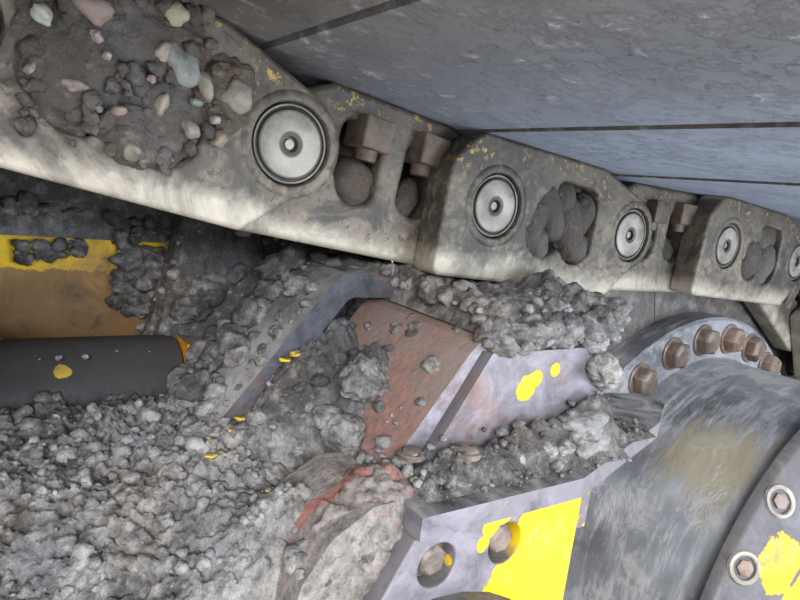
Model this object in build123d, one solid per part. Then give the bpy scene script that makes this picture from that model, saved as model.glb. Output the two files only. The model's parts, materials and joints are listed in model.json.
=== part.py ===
"""Left-hand track unit of a low-ground-pressure crawler dozer.

Lengths are in millimetres. While the pieces are worked out, x = 0 is the sprocket's axis, +x points
rearwards, y = 0 is the chain's middle, -y is the machine's outer side and z = 0 is the ground.
At the end everything moves along x, so that the origin is under the middle of the whole unit.
"""

from build123d import *
import math
import os

os.makedirs("parts", exist_ok=True)

GAP = 0.3  # between pieces of one body that sit on each other
RUNNING_GAP = 0.3  # between a shaft and the bore that it turns in
SIDES = 32  # of the large round pieces, which are many-sided to keep the unit light
SPINDLE_SIDES = 48
PIVOT_SIDES = 28
ROLLER_SIDES = 12
BUSHING_SIDES = 6

# Chain: link pairs alternate between outer and inner plates
PITCH = 203.2
LINK_COUNT = 46
RAIL_DROP = 68.0  # pin centre to the rail that the rollers run on
SEAT_RISE = 60.0  # pin centre to the seat under the shoe
OUTER_PLATE = (62.5, 95.0)  # inner and outer face, each side of the middle
INNER_PLATE = (32.0, 62.2)
BUSHING_R = 33.0
BOSS_R = 38.0

WINDOW_TOP, WINDOW_FLOOR = 38.0, -34.0  # openings in the plates, from the pins' line
OUTER_WINDOW = (44.0, 142.0)
INNER_WINDOW = (52.0, 151.0)

# Shoes
SHOE_WIDTH = 915.0
SHOE_START = -24.0  # front edge, from the link's front pin
SHOE_LENGTH = 195.0
SHOE_PLATE = 14.0
GROUSER_HEIGHT = 51.0
GROUSER_PLACE = 30.0
GROUSER_TIP = 16.0

# Sprocket and final drive
TEETH = 27  # the chain's bushings fill every second gap
SEGMENTS = 9
SPROCKET_Z = 580.0
ENTRY_ANGLE = 99.9  # where the top run meets the sprocket, from +x
TOOTH_WIDTH = 52.0
TOOTH_RISE = 14.0  # tip above the pitch circle
TIP_WIDTH = 22.0
SEGMENT_INNER_R = 275.0
SEGMENT_SPLIT = 2.0
RING_R = 332.0
RING_THICKNESS = 38.0
DRUM_R = 272.0
DRUM_END = 40.0
DRUM_OUTER_Y = -241.0
COVER_R = 284.0
COVER_FACE_R = 236.0
COVER_DEPTH = 46.0
SPINDLE_R = 180.0
CASE_R = 240.0
CASE_NECK_R = 206.0
CASE_CLEARANCE = 6.0  # between the hub's faces and the case
CASE_INNER_Y = 300.0
CASE_FLANGE_R = 272.0
CASE_FLANGE_THICKNESS = 28.0
CASE_BOLT_PCD = 500.0
CASE_BOLTS = 8
CASE_BOLT_R = 9.5

# Idler
IDLER_PIN_R = 420.0  # radius at which the pins go round it
IDLER_FLANGE_RISE = 22.0
IDLER_RAISE = 12.0  # above the height at which it would touch the bottom run's line
IDLER_BORE_R = 60.0

# Runs: where the rollers that carry them stand
TRACK_ROLLERS = 8
REAR_ROLLER_X = -560.0
FRONT_ROLLER_AHEAD = 500.0  # of the idler's axis, to its rear
TRACK_ROLLER_R = 105.0
TRACK_ROLLER_FLANGE_R = 124.0
TRACK_ROLLER_GAP = 1.2  # above the rail, whose end links start to rise
ROLLER_BORE_R = 46.0
ROLLER_HALF = 132.0
ROLLER_FLANGE_Y = 99.0
CARRIER_R = 76.0
CARRIER_PEAK = 1109.0  # height of the pins above the carrier rollers
REAR_CARRIER_X = -960.0
FRONT_CARRIER_X = -2080.0
SAG_REAR, SAG_MIDDLE, SAG_FRONT = 29.0, 26.0, 12.0

# Roller frame
FRAME_HALF = 200.0
FRAME_WALL = 16.0
FRAME_REAR_X = -476.0
FRAME_FRONT_X = -2780.0
FEET_FRONT_X = -2900.0
FRAME_BASE_Z = 350.0
FRAME_FLOOR_Z = 430.0
FRAME_TOP_Z = 640.0
HUMP_TOP_Z = 760.0
HUMP_FRONT_X = -1350.0
HUMP_RUN = 150.0
FOOT_WIDTH = 50.0

# Pivot, about which the frame swings
PIVOT_X, PIVOT_Z = -618.0, 640.0
PIVOT_SHAFT_R = 85.0
PIVOT_TUBE_R = 112.0
PIVOT_COLLAR_R = PIVOT_TUBE_R + 34.0
PIVOT_INNER_Y = 300.0
PIVOT_FLANGE_R = 150.0
PIVOT_FLANGE_THICKNESS = 30.0
PIVOT_BOLT_PCD = 245.0
PIVOT_BOLTS = 6
PIVOT_BOLT_R = 11.0
CAP_R = 132.0
CAP_THICKNESS = 15.0

# Guard over the pivot, in front of the final drive
CHEEK_Y = -FRAME_HALF - 35.0
CHEEK_THICKNESS = 16.0
GUARD_PLATE = 16.0
GUARD_TOP_Z = 836.0
GUARD_OVERHANG = 4.0  # of the level plate past the cheek
GUARD_INNER_Y = -60.0
POST_THICKNESS = 14.0
RIB_Y = -FRAME_HALF + 12.0
RIB_THICKNESS = 12.0
RIB_TOP_Z = 922.0
RIB_FOOT_X, RIB_BEND_X, RIB_REAR_X = -605.0, -551.0, -415.0
HOOD_Y = (RIB_Y + 7.0, -20.0)
HOOD_TOP_Z = 934.0
HOOD_FOOT_X, HOOD_BEND_X, HOOD_REAR_X = -631.0, -557.0, -400.0
HOOD_PLATE = 18.0
SHOULDER_Y = -140.0
SHOULDER_X = (-716.0, -640.0)
SHOULDER_TOP_Z = GUARD_TOP_Z + 2.0
HOOD_GROOVE = 4.0
RAMP_Y = (-52.0, 50.0)
RAMP_TOP_Z = 958.0
RAMP_FOOT_X, RAMP_BEND_X, RAMP_REAR_X = -764.0, -608.0, -536.0
RAMP_PLATE = 22.0
PLATE_BEND_R = 34.0  # outside the bends of the hood and the ramp

# Recoil unit along the frame's top, and the beam beside it that carries the carrier rollers
RECOIL_Y, RECOIL_Z = FRAME_HALF - 95.0, 812.0
RECOIL_R = 52.0
RECOIL_REAR_X = -700.0
RECOIL_FRONT_X = -2400.0
RECOIL_ROD_R = 30.0
BEAM_Y = (FRAME_HALF - 30.0, FRAME_HALF)
RECOIL_SADDLE_X = (-2330.0, -2270.0)
MOUNT_LENGTH = 42.0
BEAM_TOP_Z = 949.0
CARRIER_BOSS_R = 76.0
BEAM_REAR_X = -697.0
BEAM_FRONT_X = -2300.0

# Saddle on the frame's inner side, to which the equaliser bar's end is pinned
SADDLE_X, SADDLE_Z = -2150.0, 540.0
SADDLE_HALF = (112.0, 98.0)
SADDLE_THICKNESS = 36.0
SADDLE_BOLT_SPACING = 160.0
SADDLE_BOLT_R = 13.0

pin_z = SEAT_RISE + SHOE_PLATE + GROUSER_HEIGHT
rail_z = pin_z + RAIL_DROP
link_angle = 2 * 360 / TEETH
sprocket_r = PITCH / 2 / math.sin(math.radians(link_angle / 2))
idler_tread_r = math.sqrt(IDLER_PIN_R**2 - (PITCH / 2) ** 2) - RAIL_DROP - GAP
idler_z = pin_z + IDLER_PIN_R + IDLER_RAISE


# Helpers for shapes


def slab(sketch, y_low, y_high):
    """A side view (x, z) made into a solid between two values of y."""
    return extrude(Plane.XZ.offset(-y_high) * sketch, amount=y_high - y_low, dir=(0, -1, 0))


def outline(*points):
    return Polygon(*points, align=None)


def polar(radius, degrees):
    return radius * math.cos(math.radians(degrees)), radius * math.sin(math.radians(degrees))


def disc(x, z, radius, sides=SIDES):
    return Pos(x, z) * RegularPolygon(radius, sides)


def shaft(x, z, radius, y_low, y_high, sides=SIDES):
    return slab(disc(x, z, radius, sides), y_low, y_high)


def drilled(x, z, radius, y_low, y_high):
    """A truly round hole, where a bolt goes."""
    return slab(Pos(x, z) * Circle(radius), y_low - 1, y_high + 1)


def clear_round(radius, sides=SIDES):
    """Corner radius of a many-sided bore whose flats stay clear of a shaft that turns in it."""
    return (radius + RUNNING_GAP) / math.cos(math.pi / sides)


def turned(profile, x, z, sides=SIDES):
    """A many-sided turned piece about an axis along y, from the (y, radius) corners of its half section."""
    turns = [2 * math.pi * i / sides for i in range(sides + 1)]
    faces = []
    for (y1, r1), (y2, r2) in zip(profile, profile[1:] + profile[:1]):
        for a, b in zip(turns, turns[1:]):
            near = [(x + r1 * math.cos(t), y1, z + r1 * math.sin(t)) for t in ((a, b) if r1 else (a,))]
            far = [(x + r2 * math.cos(t), y2, z + r2 * math.sin(t)) for t in ((b, a) if r2 else (a,))]
            if len(near + far) > 2:
                faces.append(Face(Wire.make_polygon(near + far)))
    return Solid(Shell(faces)).fix().clean()


def mirrored(solid):
    """The solid and its mirror image on the other side of the chain's middle."""
    return [solid, mirror(solid, Plane.XZ)]


def box(x, y, z):
    """A box between pairs of limits."""
    size = [high - low for low, high in (x, y, z)]
    middle = [(high + low) / 2 for low, high in (x, y, z)]
    return Pos(*middle) * Box(*size)


# Helpers for the chain's path


def arc_points(x, z, radius, start, end, step=1.0):
    count = max(2, round(abs(end - start) / step))
    angles = [math.radians(start + (end - start) * i / count) for i in range(count + 1)]
    return [(x + radius * math.cos(a), z + radius * math.sin(a)) for a in angles]


def sagging_points(start, end, sag, count=30):
    points = []
    for i in range(count + 1):
        u = i / count
        drop = 4 * sag * u * (1 - u)
        points.append((start[0] + (end[0] - start[0]) * u, start[1] + (end[1] - start[1]) * u - drop))
    return points


def tangent_angle(x, z, radius, point, side):
    """Where the line from a point touches a circle, as an angle about the circle's centre."""
    away = math.degrees(math.atan2(point[1] - z, point[0] - x))
    return away + side * math.degrees(math.acos(radius / math.dist(point, (x, z))))


def chain_path(idler_x):
    """The line that the pins follow, from the sprocket's entry round the whole loop."""
    rear_roller = (REAR_ROLLER_X, pin_z)
    front_roller = (idler_x + FRONT_ROLLER_AHEAD, pin_z)
    front_carrier = (FRONT_CARRIER_X, CARRIER_PEAK)
    rear_carrier = (REAR_CARRIER_X, CARRIER_PEAK)
    leave = tangent_angle(0, SPROCKET_Z, sprocket_r, rear_roller, 1)
    meet = tangent_angle(idler_x, idler_z, IDLER_PIN_R, front_roller, -1)
    rise = tangent_angle(idler_x, idler_z, IDLER_PIN_R, front_carrier, 1)
    sprocket = arc_points(0, SPROCKET_Z, sprocket_r, ENTRY_ANGLE, leave)
    idler = arc_points(idler_x, idler_z, IDLER_PIN_R, meet, rise - 360)
    return (
        sprocket
        + sagging_points(rear_roller, front_roller, 0)
        + idler
        + sagging_points(idler[-1], front_carrier, SAG_FRONT)[1:]
        + sagging_points(front_carrier, rear_carrier, SAG_MIDDLE)[1:]
        + sagging_points(rear_carrier, sprocket[0], SAG_REAR)[1:]
    )


def walk(path, count):
    """Pins along the path, each one pitch from the last."""
    pins, index = [path[0]], 0
    while len(pins) < count:
        last = pins[-1]
        while math.dist(path[index + 1], last) < PITCH:
            index += 1
        low, high = 0.0, 1.0
        for _ in range(50):
            part = (low + high) / 2
            point = [path[index][k] + (path[index + 1][k] - path[index][k]) * part for k in (0, 1)]
            low, high = (part, high) if math.dist(point, last) < PITCH else (low, part)
        pins.append(tuple(point))
    return pins


def close_chain():
    """The idler's place at which the last link just reaches the first pin, and the pins."""
    loop_half = PITCH * LINK_COUNT / 2
    near, far = -0.62 * loop_half, -0.77 * loop_half
    for _ in range(60):
        idler_x = (near + far) / 2
        pins = walk(chain_path(idler_x), LINK_COUNT)
        too_long = math.dist(pins[-1], pins[0]) > PITCH
        near, far = (near, idler_x) if too_long else (idler_x, far)
    return idler_x, pins


idler_x, pins = close_chain()


def link_place(index):
    """The frame of one link: its front pin, with local x to its rear pin and local z outwards."""
    start, end = pins[index], pins[(index + 1) % LINK_COUNT]
    turn = math.degrees(math.atan2(end[1] - start[1], end[0] - start[0]))
    return Pos(start[0], 0, start[1]) * Rot(0, -turn, 0)


def under_rail(x, radius):
    """The axis of a roller at x that carries the top run's rail."""
    for index in range(LINK_COUNT):
        start, end = pins[index], pins[(index + 1) % LINK_COUNT]
        if start[0] <= x < end[0] and start[1] > SPROCKET_Z:
            slope = math.atan2(end[1] - start[1], end[0] - start[0])
            drop = RAIL_DROP + radius + GAP
            height = start[1] + (x - start[0]) * math.tan(slope)
            return x + drop * math.sin(slope), height - drop * math.cos(slope)
    raise ValueError("no link over this place")


# Chain


def window(front, rear):
    """Opening through a plate, a little wider at the rail."""
    return outline(
        (front + 4, WINDOW_TOP), (rear - 4, WINDOW_TOP), (rear, WINDOW_FLOOR), (front, WINDOW_FLOOR)
    )


def outer_link():
    """Two outer plates: square nose over the front pin, round boss and cut-back rail at the rear."""
    seat = SEAT_RISE - GAP
    plate = outline(
        (-58, -RAIL_DROP),
        (-58, 36),
        (-30, seat),
        (140, seat),
        (PITCH + 26, 30),
        (PITCH + BOSS_R, -8),
        (PITCH - 20, -RAIL_DROP),
    )
    return mirrored(slab(plate - window(*OUTER_WINDOW), -OUTER_PLATE[1], -OUTER_PLATE[0]))


def inner_link():
    """Two inner plates, pressed on the bushings at both pins."""
    seat = SEAT_RISE - GAP
    plate = outline(
        (-BOSS_R, -6),
        (-14, -RAIL_DROP),
        (PITCH - 14, -RAIL_DROP),
        (PITCH + BOSS_R, -6),
        (PITCH - 40, seat),
        (40, seat),
    )
    return mirrored(slab(plate - window(*INNER_WINDOW), -INNER_PLATE[1], -INNER_PLATE[0]))


def bushing(x):
    half = INNER_PLATE[0] - GAP
    return shaft(x, 0, BUSHING_R, -half, half, BUSHING_SIDES)


def shoe():
    """A plate with one grouser across its whole width."""
    end = SHOE_START + SHOE_LENGTH
    top = SEAT_RISE + SHOE_PLATE
    tip = top + GROUSER_HEIGHT
    half_tip = GROUSER_TIP / 2
    profile = outline(
        (SHOE_START, SEAT_RISE),
        (end, SEAT_RISE),
        (end, top),
        (GROUSER_PLACE + half_tip + 8, top),
        (GROUSER_PLACE + half_tip, tip),
        (GROUSER_PLACE - half_tip, tip),
        (SHOE_START, top),
    )
    return slab(profile, -SHOE_WIDTH / 2, SHOE_WIDTH / 2)


def chain():
    """Outer pairs sit on even links, inner pairs and bushings on odd ones, and a shoe on each."""
    outer, inner, plate = outer_link(), inner_link(), shoe()
    ends = [bushing(x) for x in (0, PITCH)]
    even, odd, every = range(0, LINK_COUNT, 2), range(1, LINK_COUNT, 2), range(LINK_COUNT)
    return {
        "track_outer_links": [link_place(i) * side for i in even for side in outer],
        "track_inner_links": [link_place(i) * side for i in odd for side in inner],
        "track_bushings": [link_place(i) * end for i in odd for end in ends],
        "track_shoes": [link_place(i) * plate for i in every],
    }


# Sprocket and final drive


def tooth_ring():
    """Side view of the whole tooth ring: round gaps for the bushings, with flat tips between."""
    step = 360 / TEETH
    tip_r = sprocket_r + TOOTH_RISE
    tip_half = math.degrees(TIP_WIDTH / 2 / tip_r)
    gap_turn = 37.5
    gap_r = (BUSHING_R + GAP) / math.cos(math.radians(gap_turn / 2))
    corners = []
    for i in range(TEETH):
        tooth = ENTRY_ANGLE + step * (i - 0.5)
        for angle in (tooth - tip_half, tooth + tip_half):
            corners.append(polar(tip_r, angle))
        x, z = polar(sprocket_r, tooth + step / 2)
        for k in range(-2, 3):
            dx, dz = polar(gap_r, tooth + step / 2 - 180 - gap_turn * k)
            corners.append((x + dx, z + dz))
    inner_r = SEGMENT_INNER_R / math.cos(math.pi / TEETH)
    return Polygon(*corners, align=None) - RegularPolygon(inner_r, TEETH)


def sprocket_segments():
    ring = tooth_ring()
    for i in range(SEGMENTS):
        split = Rot(0, 0, ENTRY_ANGLE + 360 / TEETH * 0.5 + 360 / SEGMENTS * i)
        ring -= split * Pos(sprocket_r / 2, 0) * Rectangle(sprocket_r * 1.5, SEGMENT_SPLIT)
    half = TOOTH_WIDTH / 2
    return [slab(Pos(0, SPROCKET_Z) * face, -half, half) for face in ring.faces()]


def sprocket_hub():
    """Drum with the ring that the segments bolt to, turning on the case's spindle."""
    ring_y = -TOOTH_WIDTH / 2 - GAP
    end_y = TOOTH_WIDTH / 2
    drum = turned(
        [
            (DRUM_OUTER_Y, 0),
            (DRUM_OUTER_Y, DRUM_R),
            (ring_y - RING_THICKNESS, DRUM_R),
            (ring_y - RING_THICKNESS, RING_R),
            (ring_y, RING_R),
            (ring_y, SEGMENT_INNER_R - GAP),
            (end_y, SEGMENT_INNER_R - GAP),
            (end_y, 0),
        ],
        0,
        SPROCKET_Z,
    )
    bore_r = clear_round(SPINDLE_R, SPINDLE_SIDES)
    return drum - shaft(0, SPROCKET_Z, bore_r, DRUM_OUTER_Y + DRUM_END, end_y + 1, SPINDLE_SIDES)


def final_drive_cover():
    """Cone-edged end cover of the planetary stage."""
    seat = DRUM_OUTER_Y - GAP
    face = seat - COVER_DEPTH
    return turned(
        [(seat, 0), (seat, COVER_R), (seat - 12, COVER_R), (face, COVER_FACE_R), (face, 0)],
        0,
        SPROCKET_Z,
    )


def bolt_circle(x, z, pcd, count, radius, y_low, y_high):
    holes = []
    for i in range(count):
        turn = 2 * math.pi * i / count
        place = (x + pcd / 2 * math.cos(turn), z + pcd / 2 * math.sin(turn))
        holes.append(drilled(*place, radius, y_low, y_high))
    return holes


def final_drive_case():
    """Fixed case: spindle inside the hub, body and the flange that bolts to the main frame."""
    step_y = TOOTH_WIDTH / 2 + CASE_CLEARANCE
    spindle_y = DRUM_OUTER_Y + DRUM_END + CASE_CLEARANCE
    end_y = CASE_INNER_Y + CASE_FLANGE_THICKNESS
    body = turned(
        [
            (step_y, 0),
            (step_y, CASE_R),
            (CASE_INNER_Y - 70, CASE_R),
            (CASE_INNER_Y, CASE_NECK_R),
            (CASE_INNER_Y, CASE_FLANGE_R),
            (end_y, CASE_FLANGE_R),
            (end_y, 0),
        ],
        0,
        SPROCKET_Z,
    )
    body += shaft(0, SPROCKET_Z, SPINDLE_R, spindle_y, step_y + 1, SPINDLE_SIDES)
    return body - bolt_circle(
        0, SPROCKET_Z, CASE_BOLT_PCD, CASE_BOLTS, CASE_BOLT_R, CASE_INNER_Y, end_y
    )


# Idler and its yoke

YOKE_INNER = 112.0
YOKE_OUTER = 150.0
YOKE_HALF_HEIGHT = 48.0
YOKE_REAR_X = -2560.0
PAD_X = (-2750.0, -2590.0)
CROSSHEAD = (-2890.0, -2830.0)
BEARING_R = 92.0


def idler():
    """Two treads for the rails with a flange between them, dished webs and a hub."""
    profile = [
        (-108, IDLER_BORE_R),
        (-108, 105),
        (-60, 125),
        (-38, 290),
        (-96, 318),
        (-96, idler_tread_r),
        (-30, idler_tread_r),
        (-22, idler_tread_r + IDLER_FLANGE_RISE),
    ]
    other_side = [(-y, radius) for y, radius in reversed(profile)]
    return turned(profile + other_side, idler_x, idler_z)


def idler_shaft():
    reach = YOKE_OUTER + 16
    return shaft(idler_x, idler_z, IDLER_BORE_R - GAP, -reach, reach)


def idler_bearing(side):
    """Block on the yoke's arm that holds one end of the idler's shaft."""
    near, far = YOKE_INNER, YOKE_OUTER
    block = slab(disc(idler_x, idler_z, BEARING_R), near, far)
    block -= shaft(idler_x, idler_z, IDLER_BORE_R, near - 1, far + 1)
    return block if side > 0 else mirror(block, Plane.XZ)


def idler_yoke():
    """Two arms that slide in the frame, a crosshead behind the idler and the post for the rod."""
    arm = box(
        (idler_x, YOKE_REAR_X),
        (YOKE_INNER, YOKE_OUTER),
        (idler_z - YOKE_HALF_HEIGHT, idler_z + YOKE_HALF_HEIGHT),
    )
    arm += box(PAD_X, (YOKE_OUTER, FRAME_HALF - FRAME_WALL - GAP), (idler_z - 40, idler_z + 40))
    arm -= shaft(idler_x, idler_z, BEARING_R + GAP, YOKE_INNER - 1, YOKE_OUTER + 1)
    arms = mirrored(arm)
    head = box(CROSSHEAD, (-YOKE_INNER, YOKE_INNER), (idler_z - 40, idler_z + 40))
    post = slab(
        outline(
            (CROSSHEAD[0], idler_z + 40),
            (CROSSHEAD[1], idler_z + 40),
            (CROSSHEAD[1], RECOIL_Z + 40),
            (CROSSHEAD[0] + 20, RECOIL_Z + 40),
        ),
        RECOIL_Y - 36,
        RECOIL_Y + 36,
    )
    return arms[0] + arms[1] + head + post


# Rollers


def roller(tread_r, flange_r, x, z):
    """A roller with a tread for each rail and a flange outside each tread."""
    half = [(-ROLLER_HALF, ROLLER_BORE_R), (-ROLLER_HALF, flange_r), (-ROLLER_FLANGE_Y, flange_r),
            (-ROLLER_FLANGE_Y, tread_r)]
    if flange_r == tread_r:
        half = half[:2]
    other = [(-y, radius) for y, radius in reversed(half)]
    return turned(half + other, x, z, ROLLER_SIDES)


def track_roller_places():
    front = idler_x + FRONT_ROLLER_AHEAD
    step = (front - REAR_ROLLER_X) / (TRACK_ROLLERS - 1)
    height = rail_z + TRACK_ROLLER_R + TRACK_ROLLER_GAP
    return [(REAR_ROLLER_X + step * i, height) for i in range(TRACK_ROLLERS)]


def track_rollers():
    return [roller(TRACK_ROLLER_R, TRACK_ROLLER_FLANGE_R, x, z) for x, z in track_roller_places()]


def roller_shafts():
    """Track rollers' shafts, with a collar at each end that bolts up under the frame's feet."""
    solids = []
    top = FRAME_BASE_Z - GAP
    for x, z in track_roller_places():
        side = outline((x - 54, top), (x + 54, top), (x + 54, z - 20), (x, z - 60), (x - 54, z - 20))
        collars = mirrored(slab(side, -FRAME_HALF, -FRAME_HALF + FOOT_WIDTH))
        inner = FRAME_HALF - FOOT_WIDTH + 1
        rod = shaft(x, z, ROLLER_BORE_R - GAP, -inner, inner, ROLLER_SIDES)
        solids.append(rod + collars[0] + collars[1])
    return solids


def carrier_places():
    return [under_rail(x, CARRIER_R) for x in (REAR_CARRIER_X, FRONT_CARRIER_X)]


def carrier_rollers():
    return [roller(CARRIER_R, CARRIER_R, x, z) for x, z in carrier_places()]


def carrier_shafts():
    start, end = -ROLLER_HALF - 10, BEAM_Y[0] - GAP
    return [shaft(x, z, ROLLER_BORE_R - GAP, start, end, ROLLER_SIDES) for x, z in carrier_places()]


def carrier_beam():
    """Upright plate on the frame's inner edge, with a boss for each carrier roller's shaft."""
    plate = outline(
        (BEAM_REAR_X, FRAME_TOP_Z - 20),
        (BEAM_REAR_X, HUMP_TOP_Z),
        (BEAM_REAR_X + 14, BEAM_TOP_Z - 28),
        (BEAM_REAR_X, BEAM_TOP_Z),
        (BEAM_FRONT_X, BEAM_TOP_Z),
        (BEAM_FRONT_X - 60, FRAME_TOP_Z - 20),
    )
    foot = FRAME_TOP_Z - 10
    for x, z in carrier_places():
        boss = arc_points(x, z, CARRIER_BOSS_R, 0, 180, 15)
        plate += outline((x + CARRIER_BOSS_R, foot), *boss, (x - CARRIER_BOSS_R, foot))
    return slab(plate - frame_side(-GAP, FRAME_BASE_Z), *BEAM_Y)


# Roller frame


def frame_side(inset, bottom, front_x=FRAME_FRONT_X):
    """Side view of the frame, taken in by a wall's thickness."""
    top, hump = FRAME_TOP_Z - inset, HUMP_TOP_Z - inset
    rear = FRAME_REAR_X - inset
    return outline(
        (rear, bottom),
        (rear, hump - 60),
        (rear - 40, hump),
        (HUMP_FRONT_X + inset * 0.5, hump),
        (HUMP_FRONT_X - HUMP_RUN + inset * 0.5, top),
        (front_x, top),
        (front_x, bottom),
    )


def roller_frame():
    """Box beam of plate, open at the front for the yoke, with feet for the rollers' collars."""
    inner_half = FRAME_HALF - FRAME_WALL
    beam = slab(frame_side(0, FRAME_BASE_Z), -FRAME_HALF, FRAME_HALF)
    cavity_floor = FRAME_FLOOR_Z + FRAME_WALL
    beam += box((FEET_FRONT_X, FRAME_FRONT_X + 1), (-FRAME_HALF, FRAME_HALF), (FRAME_BASE_Z, cavity_floor))
    beam -= slab(frame_side(FRAME_WALL, cavity_floor, FRAME_FRONT_X - 1), -inner_half, inner_half)
    length = (FEET_FRONT_X - 1, FRAME_REAR_X + 1)
    foot_half = FRAME_HALF - FOOT_WIDTH
    beam -= box(length, (-foot_half, foot_half), (FRAME_BASE_Z - 1, FRAME_FLOOR_Z))
    for low, high in ((-inner_half, -foot_half), (foot_half, inner_half)):
        beam -= box(length, (low - 0.001, high), (FRAME_BASE_Z + FRAME_WALL, FRAME_FLOOR_Z))
    reach = FRAME_HALF + 1
    return beam - shaft(PIVOT_X, PIVOT_Z, PIVOT_TUBE_R + GAP, -reach, reach, PIVOT_SIDES)


def roller_guard(side):
    """Plate that keeps stones out of the rollers, hung on the frame's side."""
    front, rear = FRAME_FRONT_X + 60, REAR_ROLLER_X - 90
    plate = slab(
        outline(
            (front, FRAME_BASE_Z + 70),
            (front, 250),
            (front + 50, 205),
            (rear - 50, 205),
            (rear, 250),
            (rear, FRAME_BASE_Z + 70),
        ),
        FRAME_HALF + GAP,
        FRAME_HALF + 14,
    )
    return plate if side > 0 else mirror(plate, Plane.XZ)


# Pivot


def pivot_tube():
    """Tube through the frame, with a collar on the outer side that carries the cheek plate."""
    outer_y = CHEEK_Y + CHEEK_THICKNESS + GAP
    place, sides = (PIVOT_X, PIVOT_Z), PIVOT_SIDES
    tube = shaft(*place, PIVOT_TUBE_R, outer_y, PIVOT_INNER_Y - 20, sides)
    collar = shaft(*place, PIVOT_COLLAR_R, outer_y, -FRAME_HALF - GAP, sides)
    bore = shaft(*place, clear_round(PIVOT_SHAFT_R, sides), outer_y - 1, PIVOT_INNER_Y, sides)
    return tube + collar - bore


def pivot_shaft():
    """Shaft that the frame swings on, with the flange that bolts to the main frame."""
    end_y = PIVOT_INNER_Y + PIVOT_FLANGE_THICKNESS
    pin = shaft(PIVOT_X, PIVOT_Z, PIVOT_SHAFT_R, CHEEK_Y + 4, PIVOT_INNER_Y, PIVOT_SIDES)
    flange = shaft(PIVOT_X, PIVOT_Z, PIVOT_FLANGE_R, PIVOT_INNER_Y, end_y, PIVOT_SIDES)
    return pin + flange - bolt_circle(
        PIVOT_X, PIVOT_Z, PIVOT_BOLT_PCD, PIVOT_BOLTS, PIVOT_BOLT_R, PIVOT_INNER_Y, end_y
    )


def pivot_cap():
    """Round cap over the shaft's outer end."""
    return shaft(PIVOT_X, PIVOT_Z, CAP_R, CHEEK_Y - CAP_THICKNESS, CHEEK_Y - GAP)


# Guard


def guard_cheek():
    """Upright outer plate over the pivot."""
    top = GUARD_TOP_Z - GUARD_PLATE - GAP
    plate = outline(
        (-740, 560),
        (-520, 560),
        (-480, 640),
        (-480, top),
        (SHOULDER_X[1], top),
        (-668, 770),
        (-740, 700),
    )
    plate -= disc(PIVOT_X, PIVOT_Z, clear_round(PIVOT_SHAFT_R, PIVOT_SIDES), PIVOT_SIDES)
    return slab(plate, CHEEK_Y, CHEEK_Y + CHEEK_THICKNESS)


def guard_top():
    """Level plate over the cheek, tapering towards the sprocket's ring."""
    plan = Polygon(
        (-640, CHEEK_Y - GUARD_OVERHANG),
        (-488, CHEEK_Y - GUARD_OVERHANG),
        (-300, -181),
        (-228, -141),
        (-228, -112),
        (-262, -100),
        (-400, GUARD_INNER_Y),
        (-640, GUARD_INNER_Y),
        align=None,
    )
    return extrude(Pos(0, 0, GUARD_TOP_Z - GUARD_PLATE) * plan, amount=GUARD_PLATE)


def guard_post():
    """Upright plate that carries the level one from the frame's top."""
    low, high = HUMP_TOP_Z + GAP, GUARD_TOP_Z - GUARD_PLATE - GAP
    return box((-640, -420), (-FRAME_HALF, -FRAME_HALF + POST_THICKNESS), (low, high))


def guard_rib():
    """Stiffener on the level plate, sloping at its front with the hood beside it."""
    low = GUARD_TOP_Z + GAP
    plate = outline(
        (RIB_FOOT_X, low),
        (RIB_REAR_X, low),
        (RIB_REAR_X, RIB_TOP_Z - 26),
        (RIB_REAR_X - 26, RIB_TOP_Z),
        (RIB_BEND_X, RIB_TOP_Z),
    )
    return slab(plate, RIB_Y, RIB_Y + RIB_THICKNESS - GAP)


def bent_side(foot_x, low, bend_x, top, rear_x, thickness):
    """Side view of a plate that slopes up from its foot, bends and runs level to the rear."""
    slope = math.degrees(math.atan2(top - low, bend_x - foot_x))
    centre = (bend_x + PLATE_BEND_R * math.tan(math.radians(slope / 2)), top - PLATE_BEND_R)
    outer = arc_points(*centre, PLATE_BEND_R, 90 + slope, 90, 18)
    inner = arc_points(*centre, PLATE_BEND_R - thickness, 90, 90 + slope, 18)
    foot = thickness / math.sin(math.radians(slope))
    ends = ((rear_x, top), (rear_x, top - thickness))
    return outline((foot_x, low), *outer, *ends, *inner, (foot_x + foot, low))


def guard_hood():
    """Bent plate between the rib and the chain, sloping at the front and level on top."""
    low = GUARD_TOP_Z + GAP
    side = bent_side(HOOD_FOOT_X, low, HOOD_BEND_X, HOOD_TOP_Z, HOOD_REAR_X, HOOD_PLATE)
    rib = outline(
        (RIB_FOOT_X - GAP - HOOD_GROOVE, low),
        (RIB_BEND_X - GAP - HOOD_GROOVE, RIB_TOP_Z + GAP),
        (HOOD_REAR_X + 1, RIB_TOP_Z + GAP),
        (HOOD_REAR_X + 1, low),
    )
    return slab(side, *HOOD_Y) - slab(rib, HOOD_Y[0] - 1, RIB_Y + RIB_THICKNESS)


def guard_shoulder():
    """Casting on the frame's corner that the level plate butts against."""
    low = HUMP_TOP_Z + GAP
    rear = SHOULDER_X[1] - GAP
    front = SHOULDER_X[0]
    side = outline(
        (front, low),
        (rear, low),
        (rear, SHOULDER_TOP_Z),
        (rear - 22, SHOULDER_TOP_Z),
        (rear - 50, SHOULDER_TOP_Z - 16),
        (front + 8, SHOULDER_TOP_Z - 42),
    )
    collar = disc(PIVOT_X, PIVOT_Z, PIVOT_COLLAR_R + GAP, PIVOT_SIDES)
    outer_y = CHEEK_Y + CHEEK_THICKNESS + GAP
    return slab(side, -FRAME_HALF, SHOULDER_Y) + slab(side - collar, outer_y, -FRAME_HALF)


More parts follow.
